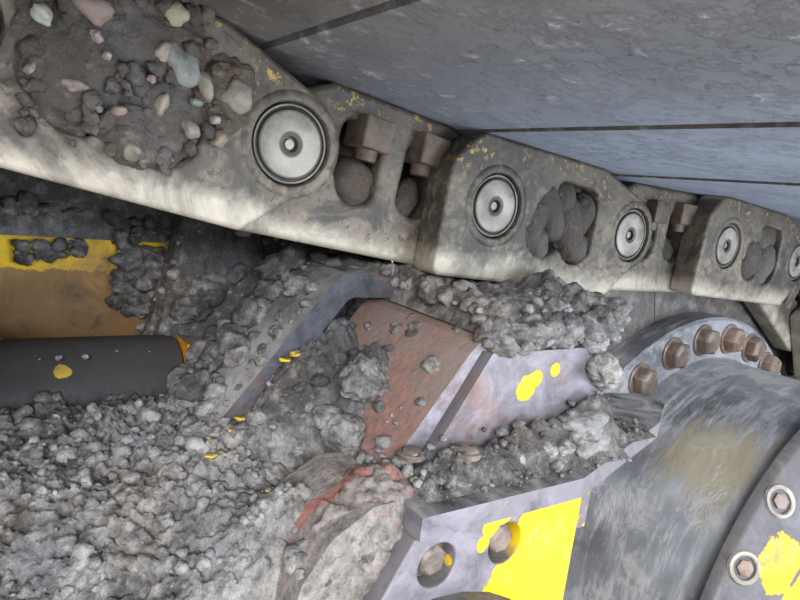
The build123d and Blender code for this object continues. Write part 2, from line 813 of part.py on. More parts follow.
def mud_ramp():
    """Bent plate in front of the hood that lifts mud off the chain."""
    low = HUMP_TOP_Z + GAP
    return slab(bent_side(RAMP_FOOT_X, low, RAMP_BEND_X, RAMP_TOP_Z, RAMP_REAR_X, RAMP_PLATE), *RAMP_Y)


# Recoil unit


def recoil_cylinder():
    along = Plane.YZ.offset(RECOIL_FRONT_X)
    length = RECOIL_REAR_X - GAP - RECOIL_FRONT_X
    return extrude(along * disc(RECOIL_Y, RECOIL_Z, RECOIL_R), amount=length)


def recoil_rod():
    along = Plane.YZ.offset(CROSSHEAD[1] + GAP)
    reach = RECOIL_FRONT_X - CROSSHEAD[1] - 2 * GAP
    return extrude(along * disc(RECOIL_Y, RECOIL_Z, RECOIL_ROD_R, ROLLER_SIDES), amount=reach)


def recoil_mount():
    """Bracket on the frame's top that takes the recoil unit's thrust."""
    return box(
        (RECOIL_REAR_X, RECOIL_REAR_X + MOUNT_LENGTH),
        (RECOIL_Y - 41, BEAM_Y[0] - 4),
        (HUMP_TOP_Z + GAP, RECOIL_Z + RECOIL_R + 2),
    )


def recoil_saddle():
    """Front support of the recoil unit on the lower part of the frame."""
    front, rear = RECOIL_SADDLE_X
    block = box((front, rear), (RECOIL_Y - 45, RECOIL_Y + 55), (FRAME_TOP_Z + GAP, RECOIL_Z))
    cut = Plane.YZ.offset(front - 10) * disc(RECOIL_Y, RECOIL_Z, RECOIL_R + GAP)
    return block - extrude(cut, amount=rear - front + 20)


def equalizer_saddle():
    """Thick pad on the inner wall, with two holes for the bracket of the equaliser bar."""
    half_x, half_z = SADDLE_HALF
    wall_y = FRAME_HALF + GAP
    end_y = wall_y + SADDLE_THICKNESS
    corner = 22
    pad = outline(
        (SADDLE_X - half_x, SADDLE_Z - half_z + corner),
        (SADDLE_X - half_x + corner, SADDLE_Z - half_z),
        (SADDLE_X + half_x - corner, SADDLE_Z - half_z),
        (SADDLE_X + half_x, SADDLE_Z - half_z + corner),
        (SADDLE_X + half_x, SADDLE_Z + half_z),
        (SADDLE_X - half_x, SADDLE_Z + half_z),
    )
    holes = [
        drilled(SADDLE_X + side * SADDLE_BOLT_SPACING / 2, SADDLE_Z, SADDLE_BOLT_R, wall_y, end_y)
        for side in (-1, 1)
    ]
    return slab(pad, wall_y, end_y) - holes


nodes = {
    **chain(),
    "sprocket_segments": sprocket_segments(),
    "sprocket_hub": sprocket_hub(),
    "final_drive_cover": final_drive_cover(),
    "final_drive_case": final_drive_case(),
    "idler": idler(),
    "idler_shaft": idler_shaft(),
    "idler_bearing_outer": idler_bearing(-1),
    "idler_bearing_inner": idler_bearing(1),
    "idler_yoke": idler_yoke(),
    "track_rollers": track_rollers(),
    "roller_shafts": roller_shafts(),
    "carrier_rollers": carrier_rollers(),
    "carrier_shafts": carrier_shafts(),
    "carrier_beam": carrier_beam(),
    "roller_frame": roller_frame(),
    "roller_guard_outer": roller_guard(-1),
    "roller_guard_inner": roller_guard(1),
    "pivot_tube": pivot_tube(),
    "pivot_shaft": pivot_shaft(),
    "pivot_cap": pivot_cap(),
    "guard_cheek": guard_cheek(),
    "guard_top": guard_top(),
    "guard_post": guard_post(),
    "guard_rib": guard_rib(),
    "guard_hood": guard_hood(),
    "guard_shoulder": guard_shoulder(),
    "mud_ramp": mud_ramp(),
    "recoil_cylinder": recoil_cylinder(),
    "recoil_rod": recoil_rod(),
    "recoil_mount": recoil_mount(),
    "recoil_saddle": recoil_saddle(),
    "equalizer_saddle": equalizer_saddle(),
}

reach = Compound(nodes["track_shoes"]).bounding_box()
middle_x = (reach.min.X + reach.max.X) / 2
for name, shape in nodes.items():
    solids = shape if isinstance(shape, list) else shape.solids()
    moved = Pos(-middle_x, 0, 0) * Compound(list(solids))
    export_step(moved, f"parts/{name}.step")

print("middle x", round(middle_x, 3), "idler x", round(idler_x, 3), "idler z", round(idler_z, 3))
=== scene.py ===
"""Looks of a crawler dozer's left-hand track unit: worn steel, chipped paint and caked mud.

Everything is in metres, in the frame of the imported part: +X rearwards, -Y the outer side, +Z up, with
the ground at z = 0. Lengths that the part also has carry the same names as in its source.
"""

import json
import math
import random

import bmesh
import bpy
from mathutils import Matrix, Vector, noise


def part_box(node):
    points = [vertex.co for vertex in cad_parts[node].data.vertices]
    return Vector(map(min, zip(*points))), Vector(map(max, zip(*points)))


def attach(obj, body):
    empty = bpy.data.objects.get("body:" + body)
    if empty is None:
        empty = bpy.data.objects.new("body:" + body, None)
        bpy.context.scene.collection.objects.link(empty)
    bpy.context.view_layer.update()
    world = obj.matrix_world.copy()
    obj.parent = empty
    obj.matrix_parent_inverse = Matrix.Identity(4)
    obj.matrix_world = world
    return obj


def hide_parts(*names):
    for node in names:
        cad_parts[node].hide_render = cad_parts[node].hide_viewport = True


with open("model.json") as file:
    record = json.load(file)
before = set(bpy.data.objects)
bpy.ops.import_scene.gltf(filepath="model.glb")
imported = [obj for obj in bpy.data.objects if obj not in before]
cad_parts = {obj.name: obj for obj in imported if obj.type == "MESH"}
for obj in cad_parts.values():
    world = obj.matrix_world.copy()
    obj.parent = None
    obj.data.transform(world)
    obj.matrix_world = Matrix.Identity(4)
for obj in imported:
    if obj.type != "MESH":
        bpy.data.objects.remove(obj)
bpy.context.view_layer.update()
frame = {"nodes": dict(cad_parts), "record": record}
noise.seed_set(7)  # without this, noise_vector differs from run to run

MM = 0.001
UNIT = "track_unit"

# Lengths that the part also has
PITCH = 203.2 * MM
RAIL_DROP = 68 * MM
SEAT_RISE = 60 * MM
OUTER_PLATE = (62.5 * MM, 95 * MM)
INNER_PLATE = (32 * MM, 62.2 * MM)
BOSS_R = 38 * MM
SHOE_START = -24 * MM
SHOE_LENGTH = 195 * MM

# The drive's lengths, in mm, and its bolts
RING_FACE_Y = -64.3
RING_BOLTS, RING_BOLT_R = 27, 302.5
DRUM_R = 272
COVER_R, COVER_FACE_R = 284, 236
COVER_POCKETS, POCKET_CIRCLE_R, POCKET_Y = 22, 271.5, -262
RING_START, COVER_START = 123.03, 135.5  # where their first bolts stand, in degrees from +x

# Lengths of the dressed links
PIN_HOLE_R = 29.5 * MM
LINK_EDGE = 3.5 * MM


# Places that are read from the frame


def node_box(name):
    low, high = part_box(name)
    return Vector(low), Vector(high)


hub_low, hub_high = node_box("sprocket_hub")
SPROCKET = Vector(((hub_low.x + hub_high.x) / 2, 0, (hub_low.z + hub_high.z) / 2))


def from_sprocket(x, y, z_above_ground):
    """A place from millimetres behind the sprocket's axis, off the chain's middle and over the ground."""
    return Vector((SPROCKET.x + x * MM, y * MM, z_above_ground * MM))


def islands(obj):
    """Corners of each separate solid of a node."""
    mesh = bmesh.new()
    mesh.from_mesh(obj.data)
    bmesh.ops.remove_doubles(mesh, verts=mesh.verts, dist=0.02 * MM)
    seen, groups = set(), []
    for start in mesh.verts:
        if start in seen:
            continue
        seen.add(start)
        stack, group = [start], []
        while stack:
            vert = stack.pop()
            group.append(vert.co.copy())
            for edge in vert.link_edges:
                other = edge.other_vert(vert)
                if other not in seen:
                    seen.add(other)
                    stack.append(other)
        groups.append(group)
    mesh.free()
    return groups


def shoe_place(corners):
    """Matrix of a link, read from its shoe: x along the chain, z towards the shoe, at the first pin."""
    flat = sorted({(round(c.x, 5), round(c.z, 5)) for c in corners})
    flat = [Vector((x, 0, z)) for x, z in flat]
    for first in flat:
        for second in flat:
            along = second - first
            if abs(along.length - SHOE_LENGTH) > 0.05 * MM:
                continue
            along.normalize()
            outward = Vector((-along.z, 0, along.x))
            if min((c - first).dot(outward) for c in flat) > -0.1 * MM:
                pin = first - along * SHOE_START - outward * SEAT_RISE
                turn = Matrix((along, (0, 1, 0), outward)).transposed()
                return Matrix.Translation(pin) @ turn.to_4x4()
    raise ValueError("a shoe has no seat as long as expected")


def read_links():
    """Every link's matrix, in two lists: outer ones and inner ones."""
    places = [shoe_place(corners) for corners in islands(frame["nodes"]["track_shoes"])]
    nose = Vector((-58 * MM, -OUTER_PLATE[1], -RAIL_DROP))
    corners = [v.co.copy() for v in frame["nodes"]["track_outer_links"].data.vertices]
    outer, inner = [], []
    for place in places:
        spot = place @ nose
        found = any((corner - spot).length < 0.5 * MM for corner in corners)
        (outer if found else inner).append(place)
    return outer, inner


outer_links, inner_links = read_links()


def nearest_link(links, x, z):
    """The link whose first pin lies nearest to a place given from the sprocket's axis, in mm."""
    spot = from_sprocket(x, 0, z)
    return min(links, key=lambda place: (place.translation - spot).length)


# Links that the photograph shows, by the place of their first pin
link_left = nearest_link(outer_links, -883, 1091)
link_middle = nearest_link(outer_links, -482, 1029)


# Shapes


def mm(corners):
    """Corners that are given in mm, in metres."""
    return [tuple(c * MM for c in corner) for corner in corners]


def offset(x, y, z):
    """Matrix of a move that is given in mm."""
    return Matrix.Translation((x * MM, y * MM, z * MM))


def rounded(corners, step=20):
    """Closed outline from (x, z, radius) corners, each turned on its radius in steps of some degrees."""
    points = []
    for i, (x, z, radius) in enumerate(corners):
        here = Vector((x, z))
        if not radius:
            points.append((x, z))
            continue
        back = Vector(corners[i - 1][:2]) - here
        ahead = Vector(corners[(i + 1) % len(corners)][:2]) - here
        half = back.angle(ahead) / 2
        reach = min(radius / math.tan(half), back.length * 0.49, ahead.length * 0.49)
        bend = reach * math.tan(half)
        back.normalize()
        ahead.normalize()
        centre = here + (back + ahead).normalized() * (bend / math.sin(half))
        arm = here + back * reach - centre
        turn = math.pi - 2 * half
        if back.x * ahead.y - back.y * ahead.x > 0:
            turn = -turn
        steps = max(2, math.ceil(abs(math.degrees(turn)) / step))
        for k in range(steps + 1):
            c, s = math.cos(turn * k / steps), math.sin(turn * k / steps)
            points.append((centre.x + arm.x * c - arm.y * s, centre.y + arm.x * s + arm.y * c))
    return points


def circle(x, z, radius, sides=32):
    turns = [2 * math.pi * k / sides for k in range(sides)]
    return [(x + radius * math.cos(t), z + radius * math.sin(t)) for t in turns]


class Shape:
    """Points and faces of a small mesh, before it has a place."""

    def __init__(self, points, faces):
        self.points = [Vector(p) for p in points]
        self.faces = faces

    @classmethod
    def from_mesh(cls, mesh):
        return cls([v.co for v in mesh.vertices], [tuple(p.vertices) for p in mesh.polygons])

    def moved(self, matrix):
        return Shape([matrix @ p for p in self.points], self.faces)

    def mirrored(self):
        """The same shape on the other side of the chain's middle."""
        return Shape([Vector((p.x, -p.y, p.z)) for p in self.points], [f[::-1] for f in self.faces])

    def bent(self, change):
        return Shape([change(p) for p in self.points], self.faces)


def plate(outlines, y_low, y_high, edge, segments=2):
    """Plate between two heights of y, with rounded edges; outlines after the first are its holes."""
    curve = bpy.data.curves.new("outline", "CURVE")
    curve.dimensions = "2D"
    curve.fill_mode = "BOTH"
    curve.extrude = max((y_high - y_low) / 2 - edge, 1e-5)
    curve.bevel_depth = edge
    curve.bevel_resolution = segments
    curve.offset = -edge
    for points in outlines:
        spline = curve.splines.new("POLY")
        spline.points.add(len(points) - 1)
        spline.use_cyclic_u = True
        for target, (x, z) in zip(spline.points, points):
            target.co = (x, z, 0, 1)
    holder = bpy.data.objects.new("outline", curve)
    mesh = bpy.data.meshes.new_from_object(holder)
    turn = Matrix.Translation((0, (y_low + y_high) / 2, 0)) @ Matrix.Rotation(math.pi / 2, 4, "X")
    mesh.transform(turn)
    shape = Shape.from_mesh(mesh)
    bpy.data.objects.remove(holder)
    bpy.data.curves.remove(curve)
    bpy.data.meshes.remove(mesh)
    return shape


def lathe(profile, sides=48):
    """Surface turned about the y axis from (radius, y) points, which run from the outer end inwards."""
    points, faces, rings = [], [], []
    for radius, y in profile:
        turns = range(sides) if radius > 1e-6 else range(1)
        rings.append([len(points) + k for k in turns])
        for k in turns:
            t = 2 * math.pi * k / sides
            points.append((radius * math.cos(t), y, radius * math.sin(t)))
    for near, far in zip(rings, rings[1:]):
        for k in range(sides):
            steps = ((near, k), (near, k + 1), (far, k + 1), (far, k))
            corners = [ring[step % len(ring)] for ring, step in steps]
            kept = [c for i, c in enumerate(corners) if c not in corners[:i]]
            if len(kept) > 2:
                faces.append(tuple(kept))
    return Shape(points, faces)


def grid(columns, rows, corner):
    """Level net whose corners are a function of their column and row."""
    points = [corner(i, j) for j in range(rows + 1) for i in range(columns + 1)]
    starts = [j * (columns + 1) + i for j in range(rows) for i in range(columns)]
    return Shape(points, [(a, a + 1, a + columns + 2, a + columns + 1) for a in starts])


def ball(level):
    """Round mesh of radius 1."""
    mesh = bmesh.new()
    bmesh.ops.create_icosphere(mesh, subdivisions=level, radius=1)
    mesh.verts.ensure_lookup_table()
    shape = Shape([v.co for v in mesh.verts], [tuple(v.index for v in f.verts) for f in mesh.faces])
    mesh.free()
    return shape


def crumb_depth(point, scale):
    """From 0 between the crumbs to 1 on their tops."""
    away = noise.voronoi(point * scale + noise.noise_vector(point * scale * 0.8) * 0.3)[0][0]
    return math.sqrt(max(0.0, 1 - (away / 0.8) ** 2))


def clod(level, seed, rough=0.3, crumbs=0.16):
    """Lump of soil of about radius 1, with crumbs on it."""
    shift = Vector((seed * 7.31, seed * 3.17, seed * 5.53))

    def change(p):
        swell = noise.fractal(p * 0.9 + shift, 0.9, 2.1, 4) * rough
        grit = crumb_depth(p + shift, 2.3) * crumbs + crumb_depth(p + shift, 5.0) * crumbs * 0.5
        return p * (1 + swell + grit - crumbs * 0.6)

    return ball(level).bent(change)


def stone(seed):
    """Small worn stone of about radius 1."""
    shift = Vector((seed * 2.7, seed * 9.1, seed * 4.3))

    def change(p):
        return p * (1 + 0.55 * noise.noise(p * 0.9 + shift) + 0.14 * noise.noise(p * 2.6 + shift))

    return ball(3).bent(change)


def clod_place(at, size, rng, flat=0.75):
    """Matrix of a lump that lies at a place, turned at random."""
    turn = Matrix.Rotation(rng.uniform(0, 6.28), 4, "Z") @ Matrix.Rotation(rng.uniform(-0.6, 0.6), 4, "X")
    grow = Matrix.Diagonal((size * rng.uniform(0.8, 1.25), size * rng.uniform(0.75, 1.1), size * flat, 1))
    return Matrix.Translation(at) @ turn @ grow


class Gather:
    """Many shapes that become one piece. Each point keeps its place in its own shape and a tone.

    A tone is a colour, or for soil one number: how pale it is.
    """

    def __init__(self):
        self.points, self.faces, self.local, self.tone = [], [], [], []

    def add(self, shape, matrix=None, tone=0.5):
        start = len(self.points)
        moved = [matrix @ p for p in shape.points] if matrix else shape.points
        self.points.extend(moved)
        self.local.extend(shape.points)
        self.tone.extend(tone if isinstance(tone, list) else [tone] * len(moved))
        self.faces.extend(tuple(start + i for i in face) for face in shape.faces)
        return self

    def make(self, name, material, slot, body=UNIT, smooth=35, replaces=()):
        mesh = bpy.data.meshes.new(name)
        mesh.from_pydata([tuple(p) for p in self.points], [], self.faces)
        flat = [value for p in self.local for value in p]
        mesh.attributes.new("local", "FLOAT_VECTOR", "POINT").data.foreach_set("vector", flat)
        tones = [tone if isinstance(tone, tuple) else (tone, 0.5, 0.5) for tone in self.tone]
        shades = [value for tone in tones for value in (*tone, 1)]
        mesh.attributes.new("tone", "FLOAT_COLOR", "POINT").data.foreach_set("color", shades)
        mesh.materials.append(material)
        mesh.shade_smooth()
        if smooth < 180:
            mesh.set_sharp_from_angle(angle=math.radians(smooth))
        obj = bpy.data.objects.new(name, mesh)
        bpy.context.scene.collection.objects.link(obj)
        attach(obj, body)
        if replaces:
            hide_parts(*replaces)

    def make_soil(self, name, material=None):
        self.make(name, material or mat_mud, "dried_mud", smooth=180)


# Materials


class Nodes:
    """Short ways to add shader nodes to one material."""

    def __init__(self, name):
        self.material = bpy.data.materials.new(name)
        self.material.use_nodes = True
        self.tree = self.material.node_tree
        self.shader = self.tree.nodes["Principled BSDF"]

    def add(self, kind, **inputs):
        node = self.tree.nodes.new(kind)
        for key, value in inputs.items():
            self.set(node, key, value)
        return node

    def set(self, node, key, value):
        socket = node.inputs[int(key[1:])] if key[0] == "i" and key[1:].isdigit() else node.inputs[key]
        if isinstance(value, bpy.types.NodeSocket):
            self.tree.links.new(value, socket)
        else:
            socket.default_value = (*value, 1) if socket.type == "RGBA" and len(value) == 3 else value

    def place(self):
        return self.add("ShaderNodeTexCoord").outputs["Object"]

    def axis(self, name, vector=None):
        return self.add("ShaderNodeSeparateXYZ", Vector=vector or self.place()).outputs[name]

    def attribute(self, name, output="Vector"):
        node = self.add("ShaderNodeAttribute")
        node.attribute_name = name
        return node.outputs[output]

    def noise(self, scale, detail=6.0, rough=0.6, vector=None, distortion=0.0):
        node = self.add("ShaderNodeTexNoise", Scale=scale, Detail=detail, Roughness=rough)
        node.inputs["Distortion"].default_value = distortion
        self.tree.links.new(vector or self.place(), node.inputs["Vector"])
        return node.outputs["Fac"]

    def ramp(self, factor, low, high, start=0.0, end=1.0):
        node = self.add("ShaderNodeMapRange", Value=factor)
        for key, value in (("From Min", low), ("From Max", high), ("To Min", start), ("To Max", end)):
            node.inputs[key].default_value = value
        return node.outputs["Result"]

    def math(self, operation, first, second=0.0):
        node = self.add("ShaderNodeMath")
        node.operation = operation
        self.set(node, "i0", first)
        self.set(node, "i1", second)
        return node.outputs[0]

    def plus(self, first, second):
        return self.math("ADD", first, second)

    def times(self, first, second):
        return self.math("MULTIPLY", first, second)

    def mix(self, factor, first, second):
        node = self.tree.nodes.new("ShaderNodeMix")
        node.data_type = "RGBA"
        for index, value in ((0, factor), (6, first), (7, second)):
            if isinstance(value, bpy.types.NodeSocket):
                self.tree.links.new(value, node.inputs[index])
            else:
                node.inputs[index].default_value = (*value, 1) if index else value
        return node.outputs[2]

    def lay(self, under, mask, low, high, over, most=1.0):
        """One colour over another, from none where a mask is low to most where it is high."""
        return self.mix(self.ramp(mask, low, high, 0.0, most), under, over)

    def distance(self, place):
        """Distance, in metres, from a place of the part that is given in mm."""
        node = self.add("ShaderNodeVectorMath")
        node.operation = "DISTANCE"
        self.tree.links.new(self.place(), node.inputs[0])
        node.inputs[1].default_value = [c * MM for c in place]
        return node.outputs["Value"]

    def facing(self, name):
        """How far the surface faces along a world axis: 1 where it faces straight along it."""
        return self.axis(name, self.add("ShaderNodeNewGeometry").outputs["Normal"])

    def bump(self, height, strength, distance, normal=None):
        node = self.add("ShaderNodeBump", Height=height, Strength=strength, Distance=distance)
        if normal is not None:
            self.tree.links.new(normal, node.inputs["Normal"])
        return node.outputs["Normal"]

    def finish(self, color, roughness, normal=None, metallic=0.0):
        self.set(self.shader, "Base Color", color)
        self.set(self.shader, "Roughness", roughness)
        self.set(self.shader, "Metallic", metallic)
        if normal is not None:
            self.set(self.shader, "Normal", normal)
        return self.material


MUD_DARK = (0.045, 0.041, 0.038)
MUD_MID = (0.17, 0.163, 0.156)
MUD_DRY = (0.33, 0.322, 0.312)
MUD_TAN = (0.27, 0.18, 0.12)
MUD_BROWN = (0.085, 0.06, 0.04)
STEEL_DARK = (0.05, 0.047, 0.05)
LILAC = (0.2, 0.185, 0.215)
RUST = (0.2, 0.09, 0.045)
RED_BROWN = (0.25, 0.14, 0.115)
YELLOW = (0.6, 0.4, 0.012)
ORANGE = (0.5, 0.2, 0.012)


def soil(name, shift=0.0, tan=0.12, brown=0.0):
    """Soil; a piece's tone, 0 to 1, makes it darker or paler."""
    n = Nodes(name)
    tone = n.axis("X", n.attribute("tone"))
    big = n.noise(8, 5, 0.6)
    fine = n.noise(80, 9, 0.72)
    grain = n.noise(520, 3, 0.6)
    uneven = n.plus(n.ramp(big, 0.25, 0.75, -0.45, 0.45), n.ramp(fine, 0.25, 0.75, -0.8, 0.8))
    level = n.plus(tone, n.plus(uneven, shift))
    color = n.mix(n.ramp(level, 0.05, 0.6), MUD_DARK, MUD_MID)
    color = n.lay(color, level, 0.5, 1.15, MUD_DRY)
    color = n.lay(color, n.noise(5, 5), 0.52, 0.66, MUD_TAN, tan)
    color = n.lay(color, n.noise(13, 6, 0.7), 0.5, 0.66, (0.15, 0.16, 0.185), 0.5)
    color = n.lay(color, n.noise(230, 4, 0.7), 0.62, 0.7, MUD_DRY, 0.5)
    color = n.lay(color, grain, 0.56, 0.66, MUD_DARK, 0.45)
    color = n.mix(brown, color, MUD_BROWN)
    normal = n.bump(grain, 0.6, 0.0015, n.bump(fine, 0.9, 0.006))
    rough = n.math("MAXIMUM", n.ramp(level, 0.1, 0.8, 0.42, 0.92), n.ramp(grain, 0.4, 0.55, 0.3, 0.7))
    return n.finish(color, rough, normal)


def stones_in_soil():
    n = Nodes("stones")
    fine = n.noise(150, 7, 0.72)
    cloud = n.noise(45, 4, 0.6)
    color = n.mix(n.ramp(fine, 0.35, 0.7, 0.1, 0.75), n.attribute("tone", "Color"), MUD_MID)
    color = n.lay(color, cloud, 0.5, 0.62, MUD_DARK, 0.7)
    return n.finish(color, n.ramp(fine, 0.3, 0.7, 0.45, 0.85), n.bump(fine, 0.6, 0.0025))


def dusty_steel(name, base=STEEL_DARK, dust=MUD_MID, rust=0.4, shine=0.0, dust_level=0.55):
    """Bare steel under dust that is thicker where it faces up."""
    n = Nodes(name)
    cloud = n.noise(5, 7, 0.62)
    fine = n.noise(60, 7, 0.7)
    color = n.mix(n.ramp(fine, 0.4, 0.7), base, tuple(c * 1.9 for c in base))
    color = n.mix(n.times(n.ramp(cloud, 0.5, 0.75), rust), color, RUST)
    up = n.ramp(n.facing("Z"), -0.2, 1.0, 0.0, 0.35)
    level = n.plus(n.plus(up, n.ramp(cloud, 0.3, 0.75, 0.0, dust_level)), n.ramp(fine, 0.3, 0.8, -0.2, 0.3))
    color = n.lay(color, level, 0.3, 0.8, dust)
    rough = n.ramp(level, 0.2, 0.8, 0.45 - shine * 0.2, 0.9)
    metal = n.ramp(level, 0.2, 0.6, 0.5, 0.0)
    normal = n.bump(fine, 0.35, 0.003, n.bump(cloud, 0.4, 0.01))
    return n.finish(color, rough, normal, metal)


def shoe_plate():
    """Dark plate with pale specks of soil, and a painted cool sheen of sky light on the rear shoes' lower
    sides.
    """
    n = Nodes("shoe_plate")
    along = n.axis("X")
    cloud = n.noise(3.5, 7, 0.62)
    fine = n.noise(48, 9, 0.74)
    color = n.mix(n.ramp(cloud, 0.36, 0.66), (0.034, 0.03, 0.026), (0.15, 0.136, 0.124))
    specks = n.times(n.ramp(fine, 0.5, 0.62), n.ramp(n.noise(9, 7, 0.72), 0.38, 0.56))
    color = n.mix(n.times(specks, n.ramp(along, 0.7, 1.0, 0.45, 0.95)), color, (0.36, 0.35, 0.345))
    # Painted sky sheen: a bluish reflection of sky light on the downward faces of the rear shoes
    painted_sky_sheen = n.times(n.ramp(along, 0.93, 1.2), n.ramp(cloud, 0.34, 0.6, 0.5, 0.8))
    painted_sky_sheen = n.times(painted_sky_sheen, n.ramp(n.facing("Z"), -0.5, -0.9))
    color = n.mix(painted_sky_sheen, color, (0.3, 0.36, 0.48))
    color = n.lay(color, n.noise(120, 6, 0.7), 0.6, 0.68, (0.02, 0.019, 0.018), 0.6)
    normal = n.bump(specks, 0.6, 0.003, n.bump(fine, 0.5, 0.003, n.bump(cloud, 0.4, 0.012)))
    return n.finish(color, n.ramp(fine, 0.3, 0.7, 0.45, 0.85), normal)


def link_plate():
    """Tan-grey plate: a band worn bright beside the rail, grime, and flecks of old paint at the top."""
    n = Nodes("link_plate_worn")
    up = n.axis("Z", n.attribute("local"))
    cloud = n.noise(7, 8, 0.66)
    fine = n.noise(75, 9, 0.72)
    grime = n.noise(19, 9, 0.7, distortion=0.7)
    color = n.mix(n.ramp(cloud, 0.38, 0.62), (0.034, 0.028, 0.023), (0.15, 0.124, 0.092))
    color = n.lay(color, fine, 0.48, 0.66, (0.26, 0.222, 0.172), 0.7)
    color = n.lay(color, n.noise(160, 6, 0.75), 0.54, 0.62, (0.025, 0.022, 0.02), 0.8)
    color = n.lay(color, grime, 0.46, 0.58, (0.03, 0.026, 0.023), 0.85)
    color = n.lay(color, up, 0.0, 0.045, (0.04, 0.034, 0.029), 0.55)
    edge = n.plus(up, n.plus(n.ramp(cloud, 0.3, 0.7, -0.013, 0.013), n.ramp(fine, 0.3, 0.7, -0.007, 0.007)))
    worn = n.ramp(edge, -0.045, -0.06)
    color = n.mix(n.times(worn, n.ramp(grime, 0.62, 0.45, 0.45, 0.95)), color, (0.36, 0.325, 0.265))
    flecks = n.times(n.ramp(n.noise(150, 8, 0.75), 0.55, 0.6, 0.0, 0.8), n.ramp(grime, 0.46, 0.54))
    flecks = n.times(flecks, n.ramp(up, 0.018, 0.04))
    color = n.mix(flecks, color, (0.5, 0.33, 0.07))
    rough = n.ramp(fine, 0.3, 0.7, 0.4, 0.7)
    normal = n.bump(fine, 0.5, 0.002, n.bump(grime, 0.45, 0.004))
    return n.finish(color, rough, normal, n.ramp(worn, 0.0, 1.0, 0.05, 0.3))


def pin_face():
    """Pin's end with soil and painted shade in the grooves round it."""
    n = Nodes("pin_face")
    across = n.add("ShaderNodeVectorMath", i0=n.attribute("local"))
    across.operation = "MULTIPLY"
    across.inputs[1].default_value = (1, 0, 1)
    reach = n.add("ShaderNodeVectorMath", i0=across.outputs["Vector"])
    reach.operation = "LENGTH"
    radius = reach.outputs["Value"]
    cloud = n.noise(35, 8, 0.68)
    fine = n.noise(140, 6, 0.7)
    color = n.mix(n.ramp(cloud, 0.35, 0.65), (0.1, 0.09, 0.078), (0.34, 0.31, 0.27))
    # Dark rings at the grooves' radii: soil and painted shade in the recesses
    for groove, half in ((0.0245, 0.0016), (0.0285, 0.0014), (0.0068, 0.002)):
        off = n.math("ABSOLUTE", n.math("SUBTRACT", radius, groove))
        color = n.lay(color, off, half * 1.5, half * 0.7, (0.022, 0.02, 0.018), 0.85)
    normal = n.bump(fine, 0.4, 0.0012, n.bump(cloud, 0.3, 0.002))
    return n.finish(color, n.ramp(fine, 0.3, 0.7, 0.35, 0.7), normal, 0.35)


LINE_FADE = 40  # how fast paint is worn beyond a line, per metre


def chipped_paint(name, paint=YELLOW, dirt=0.5, wear=0.45, under=LILAC, patches=(), line=None, top=MUD_MID):
    """Paint with grime over it, worn through to what is under it.

    Patches are places, in mm, with a reach, where paint is left on an otherwise worn plate. A line is a
    point and a direction in the x-z plane, ahead of which the paint is whole.
    """
    n = Nodes(name)
    cloud = n.noise(7, 8, 0.66)
    grit = n.noise(30, 9, 0.72, distortion=0.6)
    fine = n.noise(140, 5, 0.6)
    color = n.mix(n.ramp(fine, 0.3, 0.8), paint, tuple(c * 0.72 for c in paint))
    worn_color = n.mix(n.ramp(grit, 0.4, 0.65), under, tuple(c * 0.45 for c in under))
    worn_color = n.lay(worn_color, cloud, 0.55, 0.7, RUST, 0.6)
    ragged = n.plus(n.ramp(cloud, 0.2, 0.8, -0.5, 0.5), n.ramp(grit, 0.2, 0.8, -0.5, 0.5))
    if patches or line:
        left = None
        for x, y, z, reach in patches:
            here = n.math("SUBTRACT", 1.0, n.math("DIVIDE", n.distance((x, y, z)), reach * MM))
            left = n.math("MAXIMUM", left, here) if left else here
        if line:
            x, z, along_x, along_z = line
            ahead = n.plus(n.times(n.math("SUBTRACT", n.axis("X"), x * MM), along_x * LINE_FADE),
                           n.times(n.math("SUBTRACT", n.axis("Z"), z * MM), along_z * LINE_FADE))
            left = n.math("MAXIMUM", left, ahead) if left else ahead
        chips = n.ramp(n.plus(left, n.times(ragged, 0.9)), 0.06, 0.0)
    else:
        chips = n.ramp(ragged, 0.28 - wear * 0.56, 0.32 - wear * 0.56)
    color = n.mix(chips, color, worn_color)
    up = n.ramp(n.facing("Z"), 0.2, 0.9, 0.0, 0.8)
    grime = n.plus(up, n.ramp(n.noise(12, 9, 0.72), 0.56 - dirt * 0.22, 0.8 - dirt * 0.12))
    color = n.lay(color, grime, 0.15, 0.9, n.mix(n.ramp(grit, 0.35, 0.65), MUD_DARK, top))
    rough = n.ramp(grime, 0.0, 0.8, 0.4, 0.88)
    normal = n.bump(chips, 0.5, 0.0012, n.bump(fine, 0.25, 0.001, n.bump(grit, 0.35, 0.003)))
    n.set(n.shader, "Specular IOR Level", 0.2)
    return n.finish(color, rough, normal, n.ramp(chips, 0.0, 1.0, 0.0, 0.25))


def two_sided_plate(name, side, face, dust=MUD_DRY, dusty=0.5):
    """Bent plate whose sawn side, which faces along y, has another colour than its dusty face."""
    n = Nodes(name)
    across = n.facing("Y")
    cloud = n.noise(9, 8, 0.66)
    fine = n.noise(85, 9, 0.72)
    color = n.mix(n.ramp(fine, 0.4, 0.65), face, tuple(c * 0.5 for c in face))
    color = n.lay(color, n.plus(cloud, n.times(fine, 0.5)), 0.86 - dusty * 0.3, 1.0 - dusty * 0.2, dust, 0.8)
    edge = n.mix(n.ramp(fine, 0.38, 0.62), side, tuple(c * 0.5 for c in side))
    edge = n.lay(edge, cloud, 0.54, 0.7, RUST, 0.5)
    color = n.lay(color, n.math("ABSOLUTE", across), 0.5, 0.7, edge)
    normal = n.bump(fine, 0.6, 0.003, n.bump(cloud, 0.5, 0.008))
    return n.finish(color, n.ramp(fine, 0.3, 0.7, 0.5, 0.85), normal)


DRUM_RUB = (1468, -194, 781)  # where the drum is rubbed, in mm


